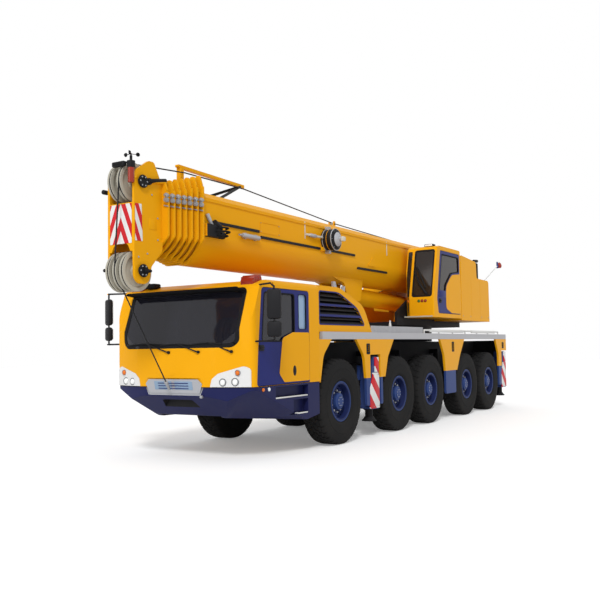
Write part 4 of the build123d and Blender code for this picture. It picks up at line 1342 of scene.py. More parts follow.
def upholster(name: str, body: str, y: float, parts: Iterable[SeatPart]) -> None:
    """Add the cushions of one seat.

    Args:
        name: Name of the cushions, with a gap for the part.
        body: Body that they ride on.
        y: Middle of the seat.
        parts: What the seat consists of.
    """
    for part, (x, z), half, lean, channels in parts:
        Cushion(name.format(part), body, (x, y, z), half, lean, channels).make()


DOOR_WINDOW: tuple[Pair, ...] = ((4.23, 1.79), (5.165, 1.79), (5.085, 2.55), (4.23, 2.55))
QUARTER_WINDOW = rectangle(3.88, 4.12, 1.99, 2.55)


@dataclass
class DriverCab(Assembly):
    """The carrier's cab with its doors, glass, lamps and mirrors."""

    side_y: float = 1.375
    screen_half: float = 1.165
    screen_low: float = 1.715
    screen_high: float = 2.62
    # wiper pivot y, z, outer end y of its blade, z of the blade
    wipers: Rows = (
        (-0.1, 1.655, -1.02, 1.775),
        (0.49, 1.655, -0.3, 1.762),
        (1.05, 1.655, 0.34, 1.77),
    )
    blade_steps: int = 6
    # y, z, radius, x of the pocket's floor
    headlamps: Rows = (
        (0.905, 1.2, 0.054, 5.48),
        (1.095, 1.205, 0.056, 5.43),
        (1.14, 1.34, 0.045, 5.425),
    )
    side_lamp_z: float = 1.078
    seat_y: float = 0.68
    mirror_x: float = 5.264
    mirror_y: float = 1.679
    arm: float = 0.014
    nose_slope: float = 0.186
    # rear x, front x, bottom z of each step
    steps: Rows = ((3.87, 4.16, 0.645), (3.87, 4.8, 0.92))
    step_pitch: float = 0.06

    def build(self) -> None:
        """Dress the shell, the doors and the windscreen."""
        zones = (
            Zone((4.9, 1.0, 2.6), (5.2, 1.245, 2.83), RED_LENS),
            Zone((5.05, 1.25, 1.7), (5.45, 1.9, 2.7), MOULDING),
            Zone((5.3, 0.69, 1.125), (5.65, 1.35, 1.45), LAMP_PANEL),
            Zone((5.5, 0.0, 1.1), (5.65, 0.605, 1.27), SILVER),
            Zone((3.45, 0.0, 1.99), (3.54, 0.71, 2.51), SEAL),
        )
        shell = Piece("driver_cab_dressed", "carrier")
        shell.copy_node(
            self.nodes["driver_cab"], PAINT_YELLOW, zones, lambda spot: abs(spot.y) < 1.6
        )
        shell.done("driver_cab")
        low_y = self.side_y - 0.065
        for side_name, side in SIDES:
            body = f"{side_name}_door"
            self.redress(
                body, body, PAINT_BLUE,
                Zone((3.8, self.side_y - 0.004, 1.16), (4.71, 1.39, 1.945), PAINT_YELLOW),
                Zone((4.2, 1.3, 1.28), (4.31, 1.39, 1.38), MOULDING),
                Zone((4.22, low_y, 1.785), (5.17, 1.377, 2.555), SEAL),
                Zone((3.87, low_y, 1.985), (4.125, 1.377, 2.555), SEAL),
            )
            self._door_trim(body, side)
        self.glaze("cab_glass", CAB_GLASS)

    def _door_trim(self, body: str, side: float) -> None:
        """Add panes, seals, the handle and the lock to one door.

        Args:
            body: Body of the door.
            side: 1 on the left, -1 on the right.
        """
        skin = side * self.side_y
        for name, corners, glass, rounding in (
            ("glass", DOOR_WINDOW, CAB_GLASS, 0.055),
            ("quarter_glass", QUARTER_WINDOW, QUARTER_GLASS, 0.035),
        ):
            pane = Piece(f"{body}_{name}", body)
            outline = on_side(corners, side * (self.side_y - 0.022))
            pane.plate(outline, (0.0, -side * 0.006, 0.0), glass, rounding)
            pane.done()
        trim = Piece(f"{body}_trim", body)
        for corners, rounding, width in ((DOOR_WINDOW, 0.06, 0.022), (QUARTER_WINDOW, 0.04, 0.007)):
            outline = on_side(corners, side * (self.side_y - 0.004))
            trim.frame(outline, width, (0.0, side * 0.007, 0.0), SEAL, rounding)
        trim.block((5.11, skin, 1.655), (5.235, skin + side * 0.012, 1.745), MOULDING)
        trim.block(
            (5.12, skin + side * 0.008, 1.69), (5.225, skin + side * 0.034, 1.722),
            MOULDING, 0.008,
        )
        trim.ball((4.26, side * 1.378, 1.335), (0.052, 0.012, 0.085), MOULDING, 28)
        trim.block((4.238, side * 1.382, 1.322), (4.282, side * 1.394, 1.338), ENAMEL, 0.002)
        trim.done()

    def dress(self) -> None:
        """Add the windscreen's border, wipers, mirrors, lamps, nose, steps and seats."""
        tree = tree_of(self.nodes["cab_glass"])
        self._screen(tree)
        self._wipers(tree)
        self._mirrors()
        self._lamps()
        self._front()
        self._steps()
        self._inside()

    def _screen(self, tree: BVHTree) -> None:
        """Add the black border on the windscreen.

        Args:
            tree: Search tree of the windscreen.
        """
        half = self.screen_half
        corners = (
            (-half, 1.8), (-1.06, self.screen_low), (1.06, self.screen_low), (half, 1.8),
            (half, self.screen_high), (-half, self.screen_high),
        )
        border = flat_face([(6.0, y * 0.994, z) for y, z in corners])
        soften(border, border.verts[:], 0.075, 6, "VERTICES")
        long_edges = [e for e in border.edges if e.calc_length() > 0.4]
        bmesh.ops.subdivide_edges(border, edges=long_edges, cuts=14)
        hollow(border, 0.062)
        for vert in border.verts:
            vert.co.x = hit_x(tree, vert.co.y * 0.998, vert.co.z) + 0.0015
        thicken(border, (0.004, 0.0, 0.0))
        seal = Piece("windscreen_border", "carrier")
        seal.take(border, SEAL)
        seal.done()

    def _wipers(self, tree: BVHTree) -> None:
        """Add the wipers, with blades that follow the windscreen.

        Args:
            tree: Search tree of the windscreen.
        """
        cab_tree = tree_of(self.nodes["driver_cab"])
        wipers = Piece("windscreen_wipers", "carrier")
        for pivot_y, pivot_z, tip_y, blade_z in self.wipers:
            base = Vector((hit_x(cab_tree, pivot_y, pivot_z), pivot_y, pivot_z))
            knuckle = base + Vector((0.035, 0.0, 0.0))
            wipers.rod(base, knuckle, 0.022, MOULDING, bevel=0.004)
            near_y = pivot_y - 0.16
            joint_y = (near_y + tip_y) / 2
            joint = Vector((hit_x(tree, joint_y, blade_z + 0.03) + 0.03, joint_y, blade_z + 0.03))
            wipers.rod(knuckle, joint, 0.011, MOULDING, far_radius=0.007)
            spots = []
            for index in range(self.blade_steps + 1):
                y = near_y + (tip_y - near_y) * index / self.blade_steps
                z = blade_z + 0.018 * math.sin(math.pi * index / self.blade_steps)
                spots.append(Vector((hit_x(tree, y, z) + 0.014, y, z)))
            for first, last in zip(spots, spots[1:]):
                wipers.rod(first, last, 0.009, MOULDING, segments=8)
        wipers.done()

    def _mirrors(self) -> None:
        """Add the mirrors with rounded housings on bent arms."""
        mirrors = Piece("cab_mirrors", "carrier")
        x, knob = self.mirror_x, (0.016, 0.016, 0.016)
        for _, side in SIDES:
            y = side * self.mirror_y
            mirrors.rod((x, y, 1.83), (x, y, 2.6), self.arm, MOULDING)
            for z, inner_z, foot_x in ((1.83, 1.8, 5.29), (2.6, 2.645, 5.16)):
                start = (x, y, z)
                elbow = (x + 0.036, side * 1.64, inner_z)
                foot = (foot_x, side * 1.33, inner_z)
                mirrors.rod(start, elbow, self.arm, MOULDING, segments=12)
                mirrors.rod(elbow, foot, self.arm, MOULDING, segments=12)
                mirrors.ball(elbow, knob, MOULDING)
                mirrors.ball(start, knob, MOULDING)
            turn = turned(25.0 * side, "Z")
            for low, high in ((1.86, 2.09), (2.12, 2.56)):
                mirrors.block(
                    (5.222, side * 1.572, low), (5.306, side * 1.786, high), MOULDING, 0.038, turn
                )
                mirrors.block(
                    (5.22, side * 1.578, low + 0.028), (5.228, side * 1.744, high - 0.028),
                    CLEAR_LENS, 0.002, turn,
                )
        mirrors.done()

    def _lamps(self) -> None:
        """Add the headlamps, the side lamps, the roof's red lamps and the work lamp."""
        lamps = Piece("front_lamps", "carrier")
        lens = ((0.0, 1.0), (0.35, 1.0), (0.55, 0.86), (0.68, 0.6), (0.74, 0.3), (0.76, 0.0))
        # x, inner y, outer y, radius, finish, bevel
        side_lamps = (
            (5.14, 1.36, 1.392, 0.028, AMBER_LENS, 0.008),
            (5.14, 1.355, 1.379, 0.034, MOULDING, 0.003),
            (4.98, 1.36, 1.386, 0.03, CLEAR_LENS, 0.008),
        )
        for _, side in SIDES:
            for y, z, radius, floor_x in self.headlamps:
                glass = AMBER_LENS if radius < 0.05 else CLEAR_LENS
                place = facing((floor_x + 0.002, side * y, z), AHEAD)
                face = [(along * 0.062, share * (radius - 0.006)) for along, share in lens]
                lamps.spun([(0.0, 0.0), *face], place, glass, segments=32)
                inner, outer = radius - 0.005, radius - 0.001
                ring = ((0.0, inner), (0.03, inner), (0.034, outer), (0.0, outer), (0.0, inner))
                lamps.spun(ring, place, ZINC, segments=32)
            for x, inner, outer, radius, finish, bevel in side_lamps:
                ends = [(x, side * y, self.side_lamp_z) for y in (inner, outer)]
                lamps.rod(*ends, radius, finish, bevel=bevel)
            lamps.block(
                (4.925, side * 1.0, 2.66), (5.17, side * 1.25, 2.7), MOULDING, 0.01,
                turned(19.0, "Y"),
            )
            for step in range(5):
                x = 4.965 + 0.042 * step
                high = 2.806 - 0.006 * step
                lamps.block(
                    (x, side * 1.0, 2.72), (x + 0.016, side * 1.246, high), RED_LENS, 0.004
                )
        lamps.done()
        roof = Piece("roof_work_lamp", "carrier")
        roof.block((5.0, -0.96, 2.7), (5.17, -0.74, 2.785), MOULDING, 0.025)
        roof.block((5.165, -0.94, 2.715), (5.174, -0.76, 2.77), SEAL, 0.004)
        roof.done()

    def _front(self) -> None:
        """Add the sloping insert of the nose, its two fields, the slats and the plug."""
        front = Piece("nose_recess_trim", "carrier")

        def on_nose(y: float, z: float) -> Point:
            """Return the point of the sloping insert at (y, z)."""
            return (5.535 + self.nose_slope * (z - 1.03), y, z)

        insert = ((-0.5, 1.03), (0.5, 1.03), (0.565, 1.175), (0.49, 1.245), (-0.49, 1.245),
                  (-0.565, 1.175))
        front.plate([on_nose(y, z) for y, z in insert], (0.008, 0.0, 0.0), SILVER, rounding=0.02)
        for inner_y, outer_y in ((-0.38, -0.03), (0.03, 0.38)):
            front.plate(
                [on_nose(y, z) for y, z in rectangle(inner_y, outer_y, 1.085, 1.215)],
                (0.012, 0.0, 0.0), NOSE_BLUE, rounding=0.012, bevel=0.002,
            )
        for z in (1.105, 1.145, 1.185):
            x = on_nose(0.0, z)[0]
            front.block((x + 0.008, -0.3, z - 0.006), (x + 0.018, 0.3, z + 0.006),
                        PAINT_BLUE, 0.003)
        front.rod((5.545, 0.55, 0.985), (5.585, 0.55, 0.985), 0.022, ZINC, bevel=0.004)
        front.done()

    def _steps(self) -> None:
        """Add the pale edges of the steps with their tread bars."""
        steps = Piece("cab_step_edges", "carrier")
        for _, side in SIDES:
            for rear_x, front_x, low in self.steps:
                steps.block(
                    (rear_x, side * 1.3, low), (front_x, side * 1.374, low + 0.022),
                    RAIL_WHITE, 0.004,
                )
                for index in range(int((front_x - rear_x) / self.step_pitch)):
                    x = rear_x + 0.02 + index * self.step_pitch
                    steps.block(
                        (x, side * 1.31, low + 0.02), (x + 0.03, side * 1.366, low + 0.028),
                        ENAMEL, 0.002,
                    )
        steps.done()

    def _inside(self) -> None:
        """Add seats, wheel and dashboard that show through the glass."""
        cabin = Piece("cab_interior", "carrier")
        cabin.block((4.95, -1.22, 1.3), (5.3, 1.22, 1.78), MOULDING, 0.05)
        for side_name, side in SIDES:
            y = self.seat_y * side
            cabin.block((4.12, y - 0.16, 1.22), (4.5, y + 0.16, 1.56), MOULDING, 0.03)
            cabin.block((4.06, y - 0.22, 1.55), (4.56, y + 0.22, 1.585), MOULDING, 0.012)
            for arm in (-0.06, 0.06):
                cabin.rod((4.0, y + arm, 2.28), (3.975, y + arm, 2.42), 0.009, ZINC)
            upholster(f"driver_seat_{{}}_{side_name}", "carrier", y, SEAT_PARTS)
        hub = (4.86, self.seat_y, 1.88)
        cabin.bend(hub, 0.21, (0.5, 0, 0.87), ACROSS, 360.0, 0.016, MOULDING, 36)
        cabin.rod(hub, (5.02, 0.68, 1.66), 0.03, MOULDING)
        cabin.block((4.7, 0.66, 1.872), (5.02, 0.7, 1.888), MOULDING, 0.006, turned(30.0, "Y"))
        cabin.done()


# ---------------- carrier
# x, lowest z, highest z of each air slot in the fenders
FENDER_SLOTS: Rows = ((1.69, 1.57, 1.72), (-2.66, 1.56, 1.74), (-6.42, 1.6, 1.72))


@dataclass
class Carrier(Assembly):
    """Chassis, decks, hood, side panels and outriggers."""

    # x, height of each marker cone on the decks
    cones: tuple[Pair, ...] = ((0.35, 0.25), (-1.08, 0.11))
    # x of each outrigger set
    outriggers: tuple[tuple[str, float], ...] = (("front", 1.4), ("rear", -6.5))
    box_half: float = 0.15
    plate_y: float = 1.36
    slot_bars: int = 4
    tail_x: float = -6.762
    coupling_z: float = 1.06

    def build(self) -> None:
        """Dress the frame nodes of the carrier."""
        self.redress("chassis_frame", "carrier", FRAME_GREY)
        self.redress("axles", "carrier", ENAMEL)
        self.redress(
            "engine_hood", "carrier", PAINT_YELLOW,
            Zone((1.4, 0.0, 1.97), (3.46, 1.3296, 2.745), MOULDING),
        )
        self.redress(
            "side_decks", "carrier", DECK_GREY,
            Zone((-1.11, 1.274, 1.955), (1.39, 1.304, 2.1), DECK_GREY),
            Zone((-6.3, 1.275, 1.955), (-1.12, 1.325, 2.06), RAIL_WHITE),
            Zone((0.81, 0.0, 1.96), (1.39, 0.45, 3.0), SILVER),
        )
        slots = (
            Zone((x - 0.05, 1.32, low - 0.004), (x + 0.05, 1.3745, high + 0.004), MOULDING)
            for x, low, high in FENDER_SLOTS
        )
        self.redress(
            "side_panels", "carrier", SIDE_PAINT,
            Zone((5.45, 0.0, 0.98), (5.6, 0.605, 1.13), SILVER),
            Zone((5.3, 0.0, 0.6), (5.6, 0.43, 0.94), MOULDING), *slots,
        )
        for number, _, steered in AXLE_STATIONS:
            if steered:
                for side_name, _ in SIDES:
                    tag = f"knuckle_{number}_{side_name}"
                    self.redress(tag, tag, ENAMEL)
        for set_name, middle in self.outriggers:
            for side_name, side in SIDES:
                self._outrigger(f"{set_name}_{side_name}", middle, side, set_name == "rear")

    def _outrigger(self, tag: str, middle: float, side: float, rearmost: bool) -> None:
        """Dress one outrigger's beam and jack, with its striped boards.

        Args:
            tag: Set and side, as in the frame's names.
            middle: Station of the set.
            side: 1 on the left, -1 on the right.
            rearmost: Whether a board closes it towards the rear.
        """
        beam, jack = f"outrigger_beam_{tag}", f"outrigger_jack_{tag}"
        inner = Zone((-9.0, 0.0, 1.0), (9.0, 1.12, 1.4), ENAMEL)
        self.redress(beam, beam, SKIRT_BLUE, inner)
        self.redress(jack, jack, ENAMEL)
        half = self.box_half
        boards = Piece(f"outrigger_boards_{tag}", beam)
        face_y = side * self.plate_y
        lower = (
            (middle - half + 0.012, 0.535), (middle + half + 0.1, 0.535),
            (middle + half + 0.1, 0.93), (middle + half - 0.02, 1.12),
            (middle + half - 0.02, 1.2), (middle - half + 0.012, 1.2),
        )
        upper = (
            (middle - half + 0.014, 1.21), (middle + 0.03, 1.21),
            (middle + 0.03, 1.49), (middle - half + 0.022, 1.49),
        )
        for corners in (lower, upper):
            boards.plate(
                on_side(corners, face_y), (0.0, side * 0.02, 0.0), SIDE_BANDS,
                rounding=0.012, bevel=0.002,
            )
        if rearmost:
            low_x, high_x = middle - half, middle - half + 0.017
            boards.plate(
                ((low_x, side * 1.125, 0.54), (low_x, side * 1.345, 0.54),
                 (high_x, side * 1.345, 1.1), (high_x, side * 1.125, 1.1)),
                (-0.004, 0.0, 0.0), FRONT_BANDS, rounding=0.012,
            )
        spots = ((-0.11, 0.57), (0.11, 0.57), (-0.09, 1.16), (0.09, 1.16))
        feet = [(middle + x, face_y + side * 0.018, z) for x, z in spots]
        boards.bolts(feet, (0.0, side * 0.008, 0.0), 0.009, 0.001)
        boards.done()

    def dress(self) -> None:
        """Add the marker cones, deck edges, fender slots, tail lamps and grille bars."""
        trim = Piece("deck_markers", "carrier")
        for _, side in SIDES:
            for x, height in self.cones:
                cone = (
                    (0.0, 0.0), (0.0, 0.06), (0.012, 0.06), (0.016, 0.048),
                    (height, 0.012), (height + 0.004, 0.0),
                )
                trim.spun(cone, facing((x, side * 1.2, 1.96), UP), RAIL_WHITE, 24)
            for rear_x, front_x in ((-3.55, -1.45), (-5.95, -4.15)):
                trim.block(
                    (rear_x, side * 1.282, 1.985), (front_x, side * 1.322, 2.052), RAIL_WHITE,
                    0.008,
                )
            for x, low, high in FENDER_SLOTS:
                outline = rectangle(x - 0.07, x + 0.07, low - 0.02, high + 0.03)
                trim.frame(
                    on_side(outline, side * 1.3745), 0.03, (0.0, side * 0.005, 0.0),
                    MOULDING, 0.02,
                )
                for index in range(self.slot_bars):
                    z = low + (high - low) * (index + 0.5) / self.slot_bars
                    trim.block(
                        (x - 0.045, side * 1.352, z - 0.008),
                        (x + 0.045, side * 1.372, z + 0.008), ENAMEL, 0.002,
                    )
        trim.done()
        self._rear()
        self._hood()

    def _rear(self) -> None:
        """Add tail lamps, warning boards and the coupling's plate."""
        tail = Piece("tail_lamps", "carrier")
        lens = ((0.0, 0.0), (0.0, 0.046), (0.008, 0.046), (0.013, 0.036), (0.015, 0.0))
        for _, side in SIDES:
            tail.block((-6.785, side * 0.8, 1.02), (-6.755, side * 1.19, 1.15),
                       MOULDING, 0.01)
            for y, finish in ((0.86, RED_LENS), (0.995, CLEAR_LENS), (1.13, AMBER_LENS)):
                tail.spun(lens, facing((-6.783, side * y, 1.085), ASTERN), finish, 28)
            board = rectangle(0.72, 1.18, 1.25, 1.62)
            tail.plate(
                [(self.tail_x, side * y, z) for y, z in board], (-0.005, 0.0, 0.0),
                FRONT_BANDS, rounding=0.02,
            )
        z = self.coupling_z
        ring = ((0.0, 0.062), (0.0, 0.11), (0.014, 0.11), (0.018, 0.1), (0.018, 0.062))
        tail.spun(ring, facing((-6.76, 0.0, z), ASTERN), ENAMEL, 32)
        feet = [(-6.772, 0.088 * cosine, z + 0.088 * sine) for cosine, sine in turns(6)]
        tail.bolts(feet, (-0.014, 0.0, 0.0), 0.011)
        tail.done()

    def _hood(self) -> None:
        """Add the blue frame and bars over the hood's louvres."""
        trim = Piece("grille_trim", "carrier")
        corners = ((3.39, 2.075), (3.39, 2.66), (2.7, 2.66), (2.0, 2.4), (1.7, 2.075))
        for _, side in SIDES:
            face_y = side * 1.3295
            trim.frame(
                on_side(corners, face_y), 0.022, (0.0, side * 0.004, 0.0), PAINT_BLUE,
                (0.04, 0.05, 0.7, 0.4, 0.04),
            )
            for z, rear_x in ((2.24, 1.86), (2.42, 2.075)):
                bar = ((rear_x, z - 0.02), (3.38, z - 0.02), (3.38, z + 0.02),
                       (rear_x + 0.03, z + 0.02))
                trim.plate(on_side(bar, face_y), (0.0, side * 0.003, 0.0), PAINT_BLUE)
        trim.done()


# ---------------- superstructure
OPERATOR_WINDOW: tuple[Pair, ...] = (
    (-2.33, 2.8), (-1.96, 2.8), (-2.19, 3.8), (-3.27, 3.8), (-3.27, 3.44), (-2.78, 3.38),
    (-2.42, 3.08),
)


@dataclass
class UpperWorks(Assembly):
    """Turntable frame, rear housing and the crane operator's cab."""

    body: str = "superstructure"
    outer_y: float = 1.34
    # y, finish of each small lamp under the windscreen
    lamps: tuple[tuple[float, Finish], ...] = (
        (0.98, GREEN_LENS), (1.06, RED_LENS), (1.14, RED_LENS), (0.72, AMBER_LENS)
    )
    lamp_z: float = 2.7
    seat_y: float = 0.97
    hatch_low: float = 2.56

    def build(self) -> None:
        """Dress the frame nodes of the upper works."""
        self.redress(
            "turntable_frame", self.body, ENAMEL,
            Zone((-5.25, 0.0, 2.24), (-1.2, 0.62, 3.63), PAINT_YELLOW),
            Zone((-5.25, 0.0, 2.2), (-4.55, 0.58, 2.9), ENAMEL),
        )
        self.redress(
            "upper_housing", self.body, PAINT_YELLOW,
            Zone((-5.1, 0.85, 3.35), (-4.7, 1.2, 3.9), ENAMEL, False),
        )
        self.redress(
            "crane_cab", self.body, PAINT_YELLOW,
            Zone((-1.95, 0.6, 2.32), (-1.55, 1.35, 2.365), CREAM_NYLON, False),
            Zone((-1.95, 0.79, 2.78), (-1.6, 1.3, 3.9), SEAL, False),
            Zone((-2.2, 0.63, 2.79), (-1.6, 0.75, 3.87), SEAL, False),
        )
        self.glaze("crane_cab_glass", CRANE_GLASS)
        self.redress(
            "crane_cab_door", "crane_cab_door", PAINT_BLUE,
            Zone((-3.33, self.outer_y - 0.003, 2.43), (-2.39, 1.35, 3.41), PAINT_YELLOW, False),
            Zone((-3.28, 1.29, 2.79), (-1.95, 1.344, 3.81), SEAL, False),
        )

    def dress(self) -> None:
        """Add the door's glass, the front pane's trim, lamps, seat, muffler and hatches."""
        self._door()
        self._screen()
        self._lamps()
        self._inside()
        self._rear()
        self._housing()

    def _door(self) -> None:
        """Add the door's pane, seal and handle."""
        pane = Piece("crane_cab_door_glass", "crane_cab_door")
        outline = on_side(OPERATOR_WINDOW, self.outer_y - 0.018)
        pane.plate(outline, (0.0, -0.006, 0.0), CRANE_GLASS, rounding=0.05)
        pane.done()
        trim = Piece("crane_cab_door_trim", "crane_cab_door")
        outline = on_side(OPERATOR_WINDOW, self.outer_y - 0.004)
        trim.frame(outline, 0.02, (0.0, 0.007, 0.0), SEAL, 0.05)
        corner = ((-2.385, 2.79), (-1.955, 2.79), (-1.99, 2.95), (-2.4, 2.95))
        trim.plate(
            on_side(corner, self.outer_y - 0.006), (0.0, 0.012, 0.0), PAINT_BLUE,
            rounding=0.015, bevel=0.003,
        )
        trim.block((-2.1, 1.34, 2.66), (-1.98, 1.352, 2.76), MOULDING)
        trim.block((-2.09, 1.348, 2.7), (-1.99, 1.372, 2.728), MOULDING, 0.008)
        trim.done()

    def _screen(self) -> None:
        """Add the border and the wiper of the front pane."""
        tree = tree_of(self.nodes["crane_cab_glass"])
        seal = Piece("crane_cab_screen_border", self.body)
        low = Vector((hit_x(tree, 1.05, 2.86), 0.0, 2.86))
        high = Vector((hit_x(tree, 1.05, 3.82), 0.0, 3.82))
        lean = (high - low) / (high.z - low.z)

        def on_screen(y: float, z: float, off: float = 0.0) -> Vector:
            """Return the point at (y, z), off the pane's face."""
            spot = Vector((low.x + lean.x * (z - low.z) + 0.002, y, z))
            return spot + Vector((off, 0, 0))

        corners = [on_screen(y, z) for y, z in rectangle(0.8, 1.29, 2.795, 3.885)]
        seal.frame(corners, 0.035, (0.006, 0.0, 0.0), SEAL, 0.05)
        knuckle, elbow = on_screen(1.16, 2.86, 0.03), on_screen(0.98, 3.1, 0.035)
        seal.rod(on_screen(1.16, 2.86), knuckle, 0.02, MOULDING)
        seal.rod(knuckle, elbow, 0.026, MOULDING, far_radius=0.02)
        seal.rod(elbow, on_screen(0.84, 3.36, 0.02), 0.014, MOULDING)
        seal.rod(
            on_screen(1.13, 3.0, 0.014), on_screen(0.86, 3.52, 0.014), 0.016, MOULDING, segments=8
        )
        seal.done()

    def _lamps(self) -> None:
        """Add the small lamps under the front pane and the work lamp on the roof."""
        lamps = Piece("crane_cab_lamps", self.body)
        lens = ((0.0, 0.0), (0.0, 0.028), (0.008, 0.028), (0.014, 0.02), (0.016, 0.0))
        rim = ((0.0, 0.028), (0.006, 0.028), (0.006, 0.034), (0.0, 0.036), (0.0, 0.028))
        cab_tree = tree_of(self.nodes["crane_cab"])
        for y, finish in self.lamps:
            x = hit_x(cab_tree, y, self.lamp_z) - 0.002
            place = facing((x, y, self.lamp_z), AHEAD)
            lamps.spun(lens, place, finish, 24)
            lamps.spun(rim, place, MOULDING, 24)
        lamps.block((-2.2, 0.98, 3.97), (-2.04, 1.2, 4.03), MOULDING, 0.015)
        lamps.block((-2.046, 1.0, 3.98), (-2.034, 1.18, 4.02), CLEAR_LENS, 0.004)
        lamps.rod((-2.12, 1.09, 3.96), (-2.12, 1.09, 3.99), 0.015, MOULDING)
        lamps.done()

    def _inside(self) -> None:
        """Add the grab rail, and the seat and its consoles behind the glass."""
        rails = Piece("crane_cab_rails", self.body)
        rails.rod((-1.7, 0.7, 2.46), (-1.7, 0.7, 2.94), 0.012, ENAMEL)
        for z in (2.46, 2.94):
            rails.rod((-1.7, 0.7, z), (-1.78, 0.7, z), 0.012, ENAMEL)
        rails.done()
        seat = Piece("crane_cab_seat", self.body)
        seat.block((-2.86, 0.8, 2.38), (-2.56, 1.14, 2.76), MOULDING, 0.03)
        for y in (0.7, 1.2):
            seat.block((-2.7, y, 2.92), (-2.34, y + 0.05, 3.02), MOULDING, 0.015)
            seat.rod((-2.4, y + 0.025, 3.0), (-2.38, y + 0.025, 3.14), 0.012, MOULDING)
        seat.block((-2.1, 0.8, 2.42), (-1.9, 1.1, 2.98), MOULDING, 0.04)
        seat.block((-2.95, 0.78, 2.735), (-2.5, 1.16, 2.765), MOULDING, 0.01)
        for y in (0.92, 1.02):
            seat.rod((-3.02, y, 3.46), (-3.045, y, 3.58), 0.008, ZINC)
        seat.done()
        upholster("crane_seat_{}", self.body, self.seat_y, OPERATOR_SEAT_PARTS)

    def _rear(self) -> None:
        """Add the muffler's guard and the warning lamp on its arm."""
        guard = Piece("muffler_guard", self.body)
        for z in (3.44, 3.58, 3.72):
            guard.bend((-4.86, 1.02, z), 0.136, UP, AHEAD, 360.0, 0.006, ZINC, 32)
        guard.block((-4.98, 0.9, 3.8), (-4.74, 1.14, 3.818), ENAMEL, 0.006)
        guard.rod((-4.76, 1.19, 3.37), (-4.76, 1.19, 3.8), 0.115, ENAMEL, bevel=0.03)
        guard.rod((-4.76, 1.19, 3.8), (-4.8, 1.19, 3.86), 0.045, ENAMEL)
        guard.rod((-4.8, 1.19, 3.86), (-5.05, 1.19, 3.88), 0.04, ENAMEL, bevel=0.006)
        guard.block((-5.22, 0.97, 3.79), (-4.86, 1.07, 3.85), ENAMEL, 0.02)
        guard.done()
        lamp = Piece("rear_warning_lamp", self.body)
        lamp.rod((-5.42, 1.2, 3.34), (-6.5, 1.27, 3.86), 0.012, RAIL_WHITE)
        lamp.rod((-6.5, 1.27, 3.8), (-6.5, 1.27, 3.98), 0.022, SKIRT_BLUE)
        lamp.rod((-6.5, 1.27, 3.88), (-6.64, 1.27, 3.88), 0.016, SKIRT_BLUE)
        globe = (
            (0.0, 0.0), (0.0, 0.035), (0.015, 0.058), (0.06, 0.07), (0.11, 0.058),
            (0.15, 0.03), (0.165, 0.0),
        )
        lamp.spun(globe, facing((-6.68, 1.27, 3.82), UP), RED_LENS, 28)
        lamp.done()

    def _housing(self) -> None:
        """Add the housing's bolts, handles, hatches and rear louvres."""
        housing = Piece("housing_trim", self.body)
        for _, side in SIDES:
            feet = [(x, side * 1.338, 2.4) for x in (-3.5, -4.04, -4.86, -5.4)]
            housing.bolts(feet, (0.0, side * 0.009, 0.0), 0.014, 0.002)
            for x, y, z in ((-5.3, 0.8, 3.366), (-4.72, 1.16, 3.378), (-3.62, 1.16, 3.868)):
                housing.bend(
                    (x, side * y, z), 0.045, ACROSS, AHEAD, -180.0, 0.011, PAINT_YELLOW, 14
                )
        for rear_x, front_x, high in ((-4.7, -4.19, 3.24), (-4.04, -3.5, 3.7)):
            self._hatch(housing, rear_x, front_x, high, -1.0)
        for z in (2.4, 2.46, 2.52, 2.58, 2.64, 2.7):
            housing.block((-5.492, -0.46, z), (-5.478, 0.46, z + 0.03), ENAMEL, 0.004)
        housing.done()

    def _hatch(
        self, housing: Piece, rear_x: float, front_x: float, high: float, side: float
    ) -> None:
        """Add one maintenance hatch with its seal, latch and hinges.

        Args:
            housing: Piece that it joins.
            rear_x: Rear edge.
            front_x: Front edge.
            high: Upper edge.
            side: 1 on the left, -1 on the right.
        """
        face_y, low, gap = side * 1.34, self.hatch_low, 0.012
        outline = on_side(rectangle(rear_x, front_x, low, high), face_y)
        housing.frame(outline, gap, (0.0, side * 0.002, 0.0), SEAL, 0.035)
        inner = rectangle(rear_x + gap, front_x - gap, low + gap, high - gap)
        housing.plate(
            on_side(inner, face_y), (0.0, side * 0.006, 0.0), PAINT_YELLOW, rounding=0.03,
            bevel=0.002,
        )
        middle = (low + high) / 2
        housing.block(
            (front_x - 0.085, side * 1.345, middle - 0.06),
            (front_x - 0.045, side * 1.356, middle + 0.06), MOULDING, 0.006,
        )
        x, y = rear_x + 0.004, side * 1.348
        for z in (low + 0.12, high - 0.12):
            housing.rod((x, y, z - 0.045), (x, y, z + 0.045), 0.009, PAINT_YELLOW, bevel=0.002)


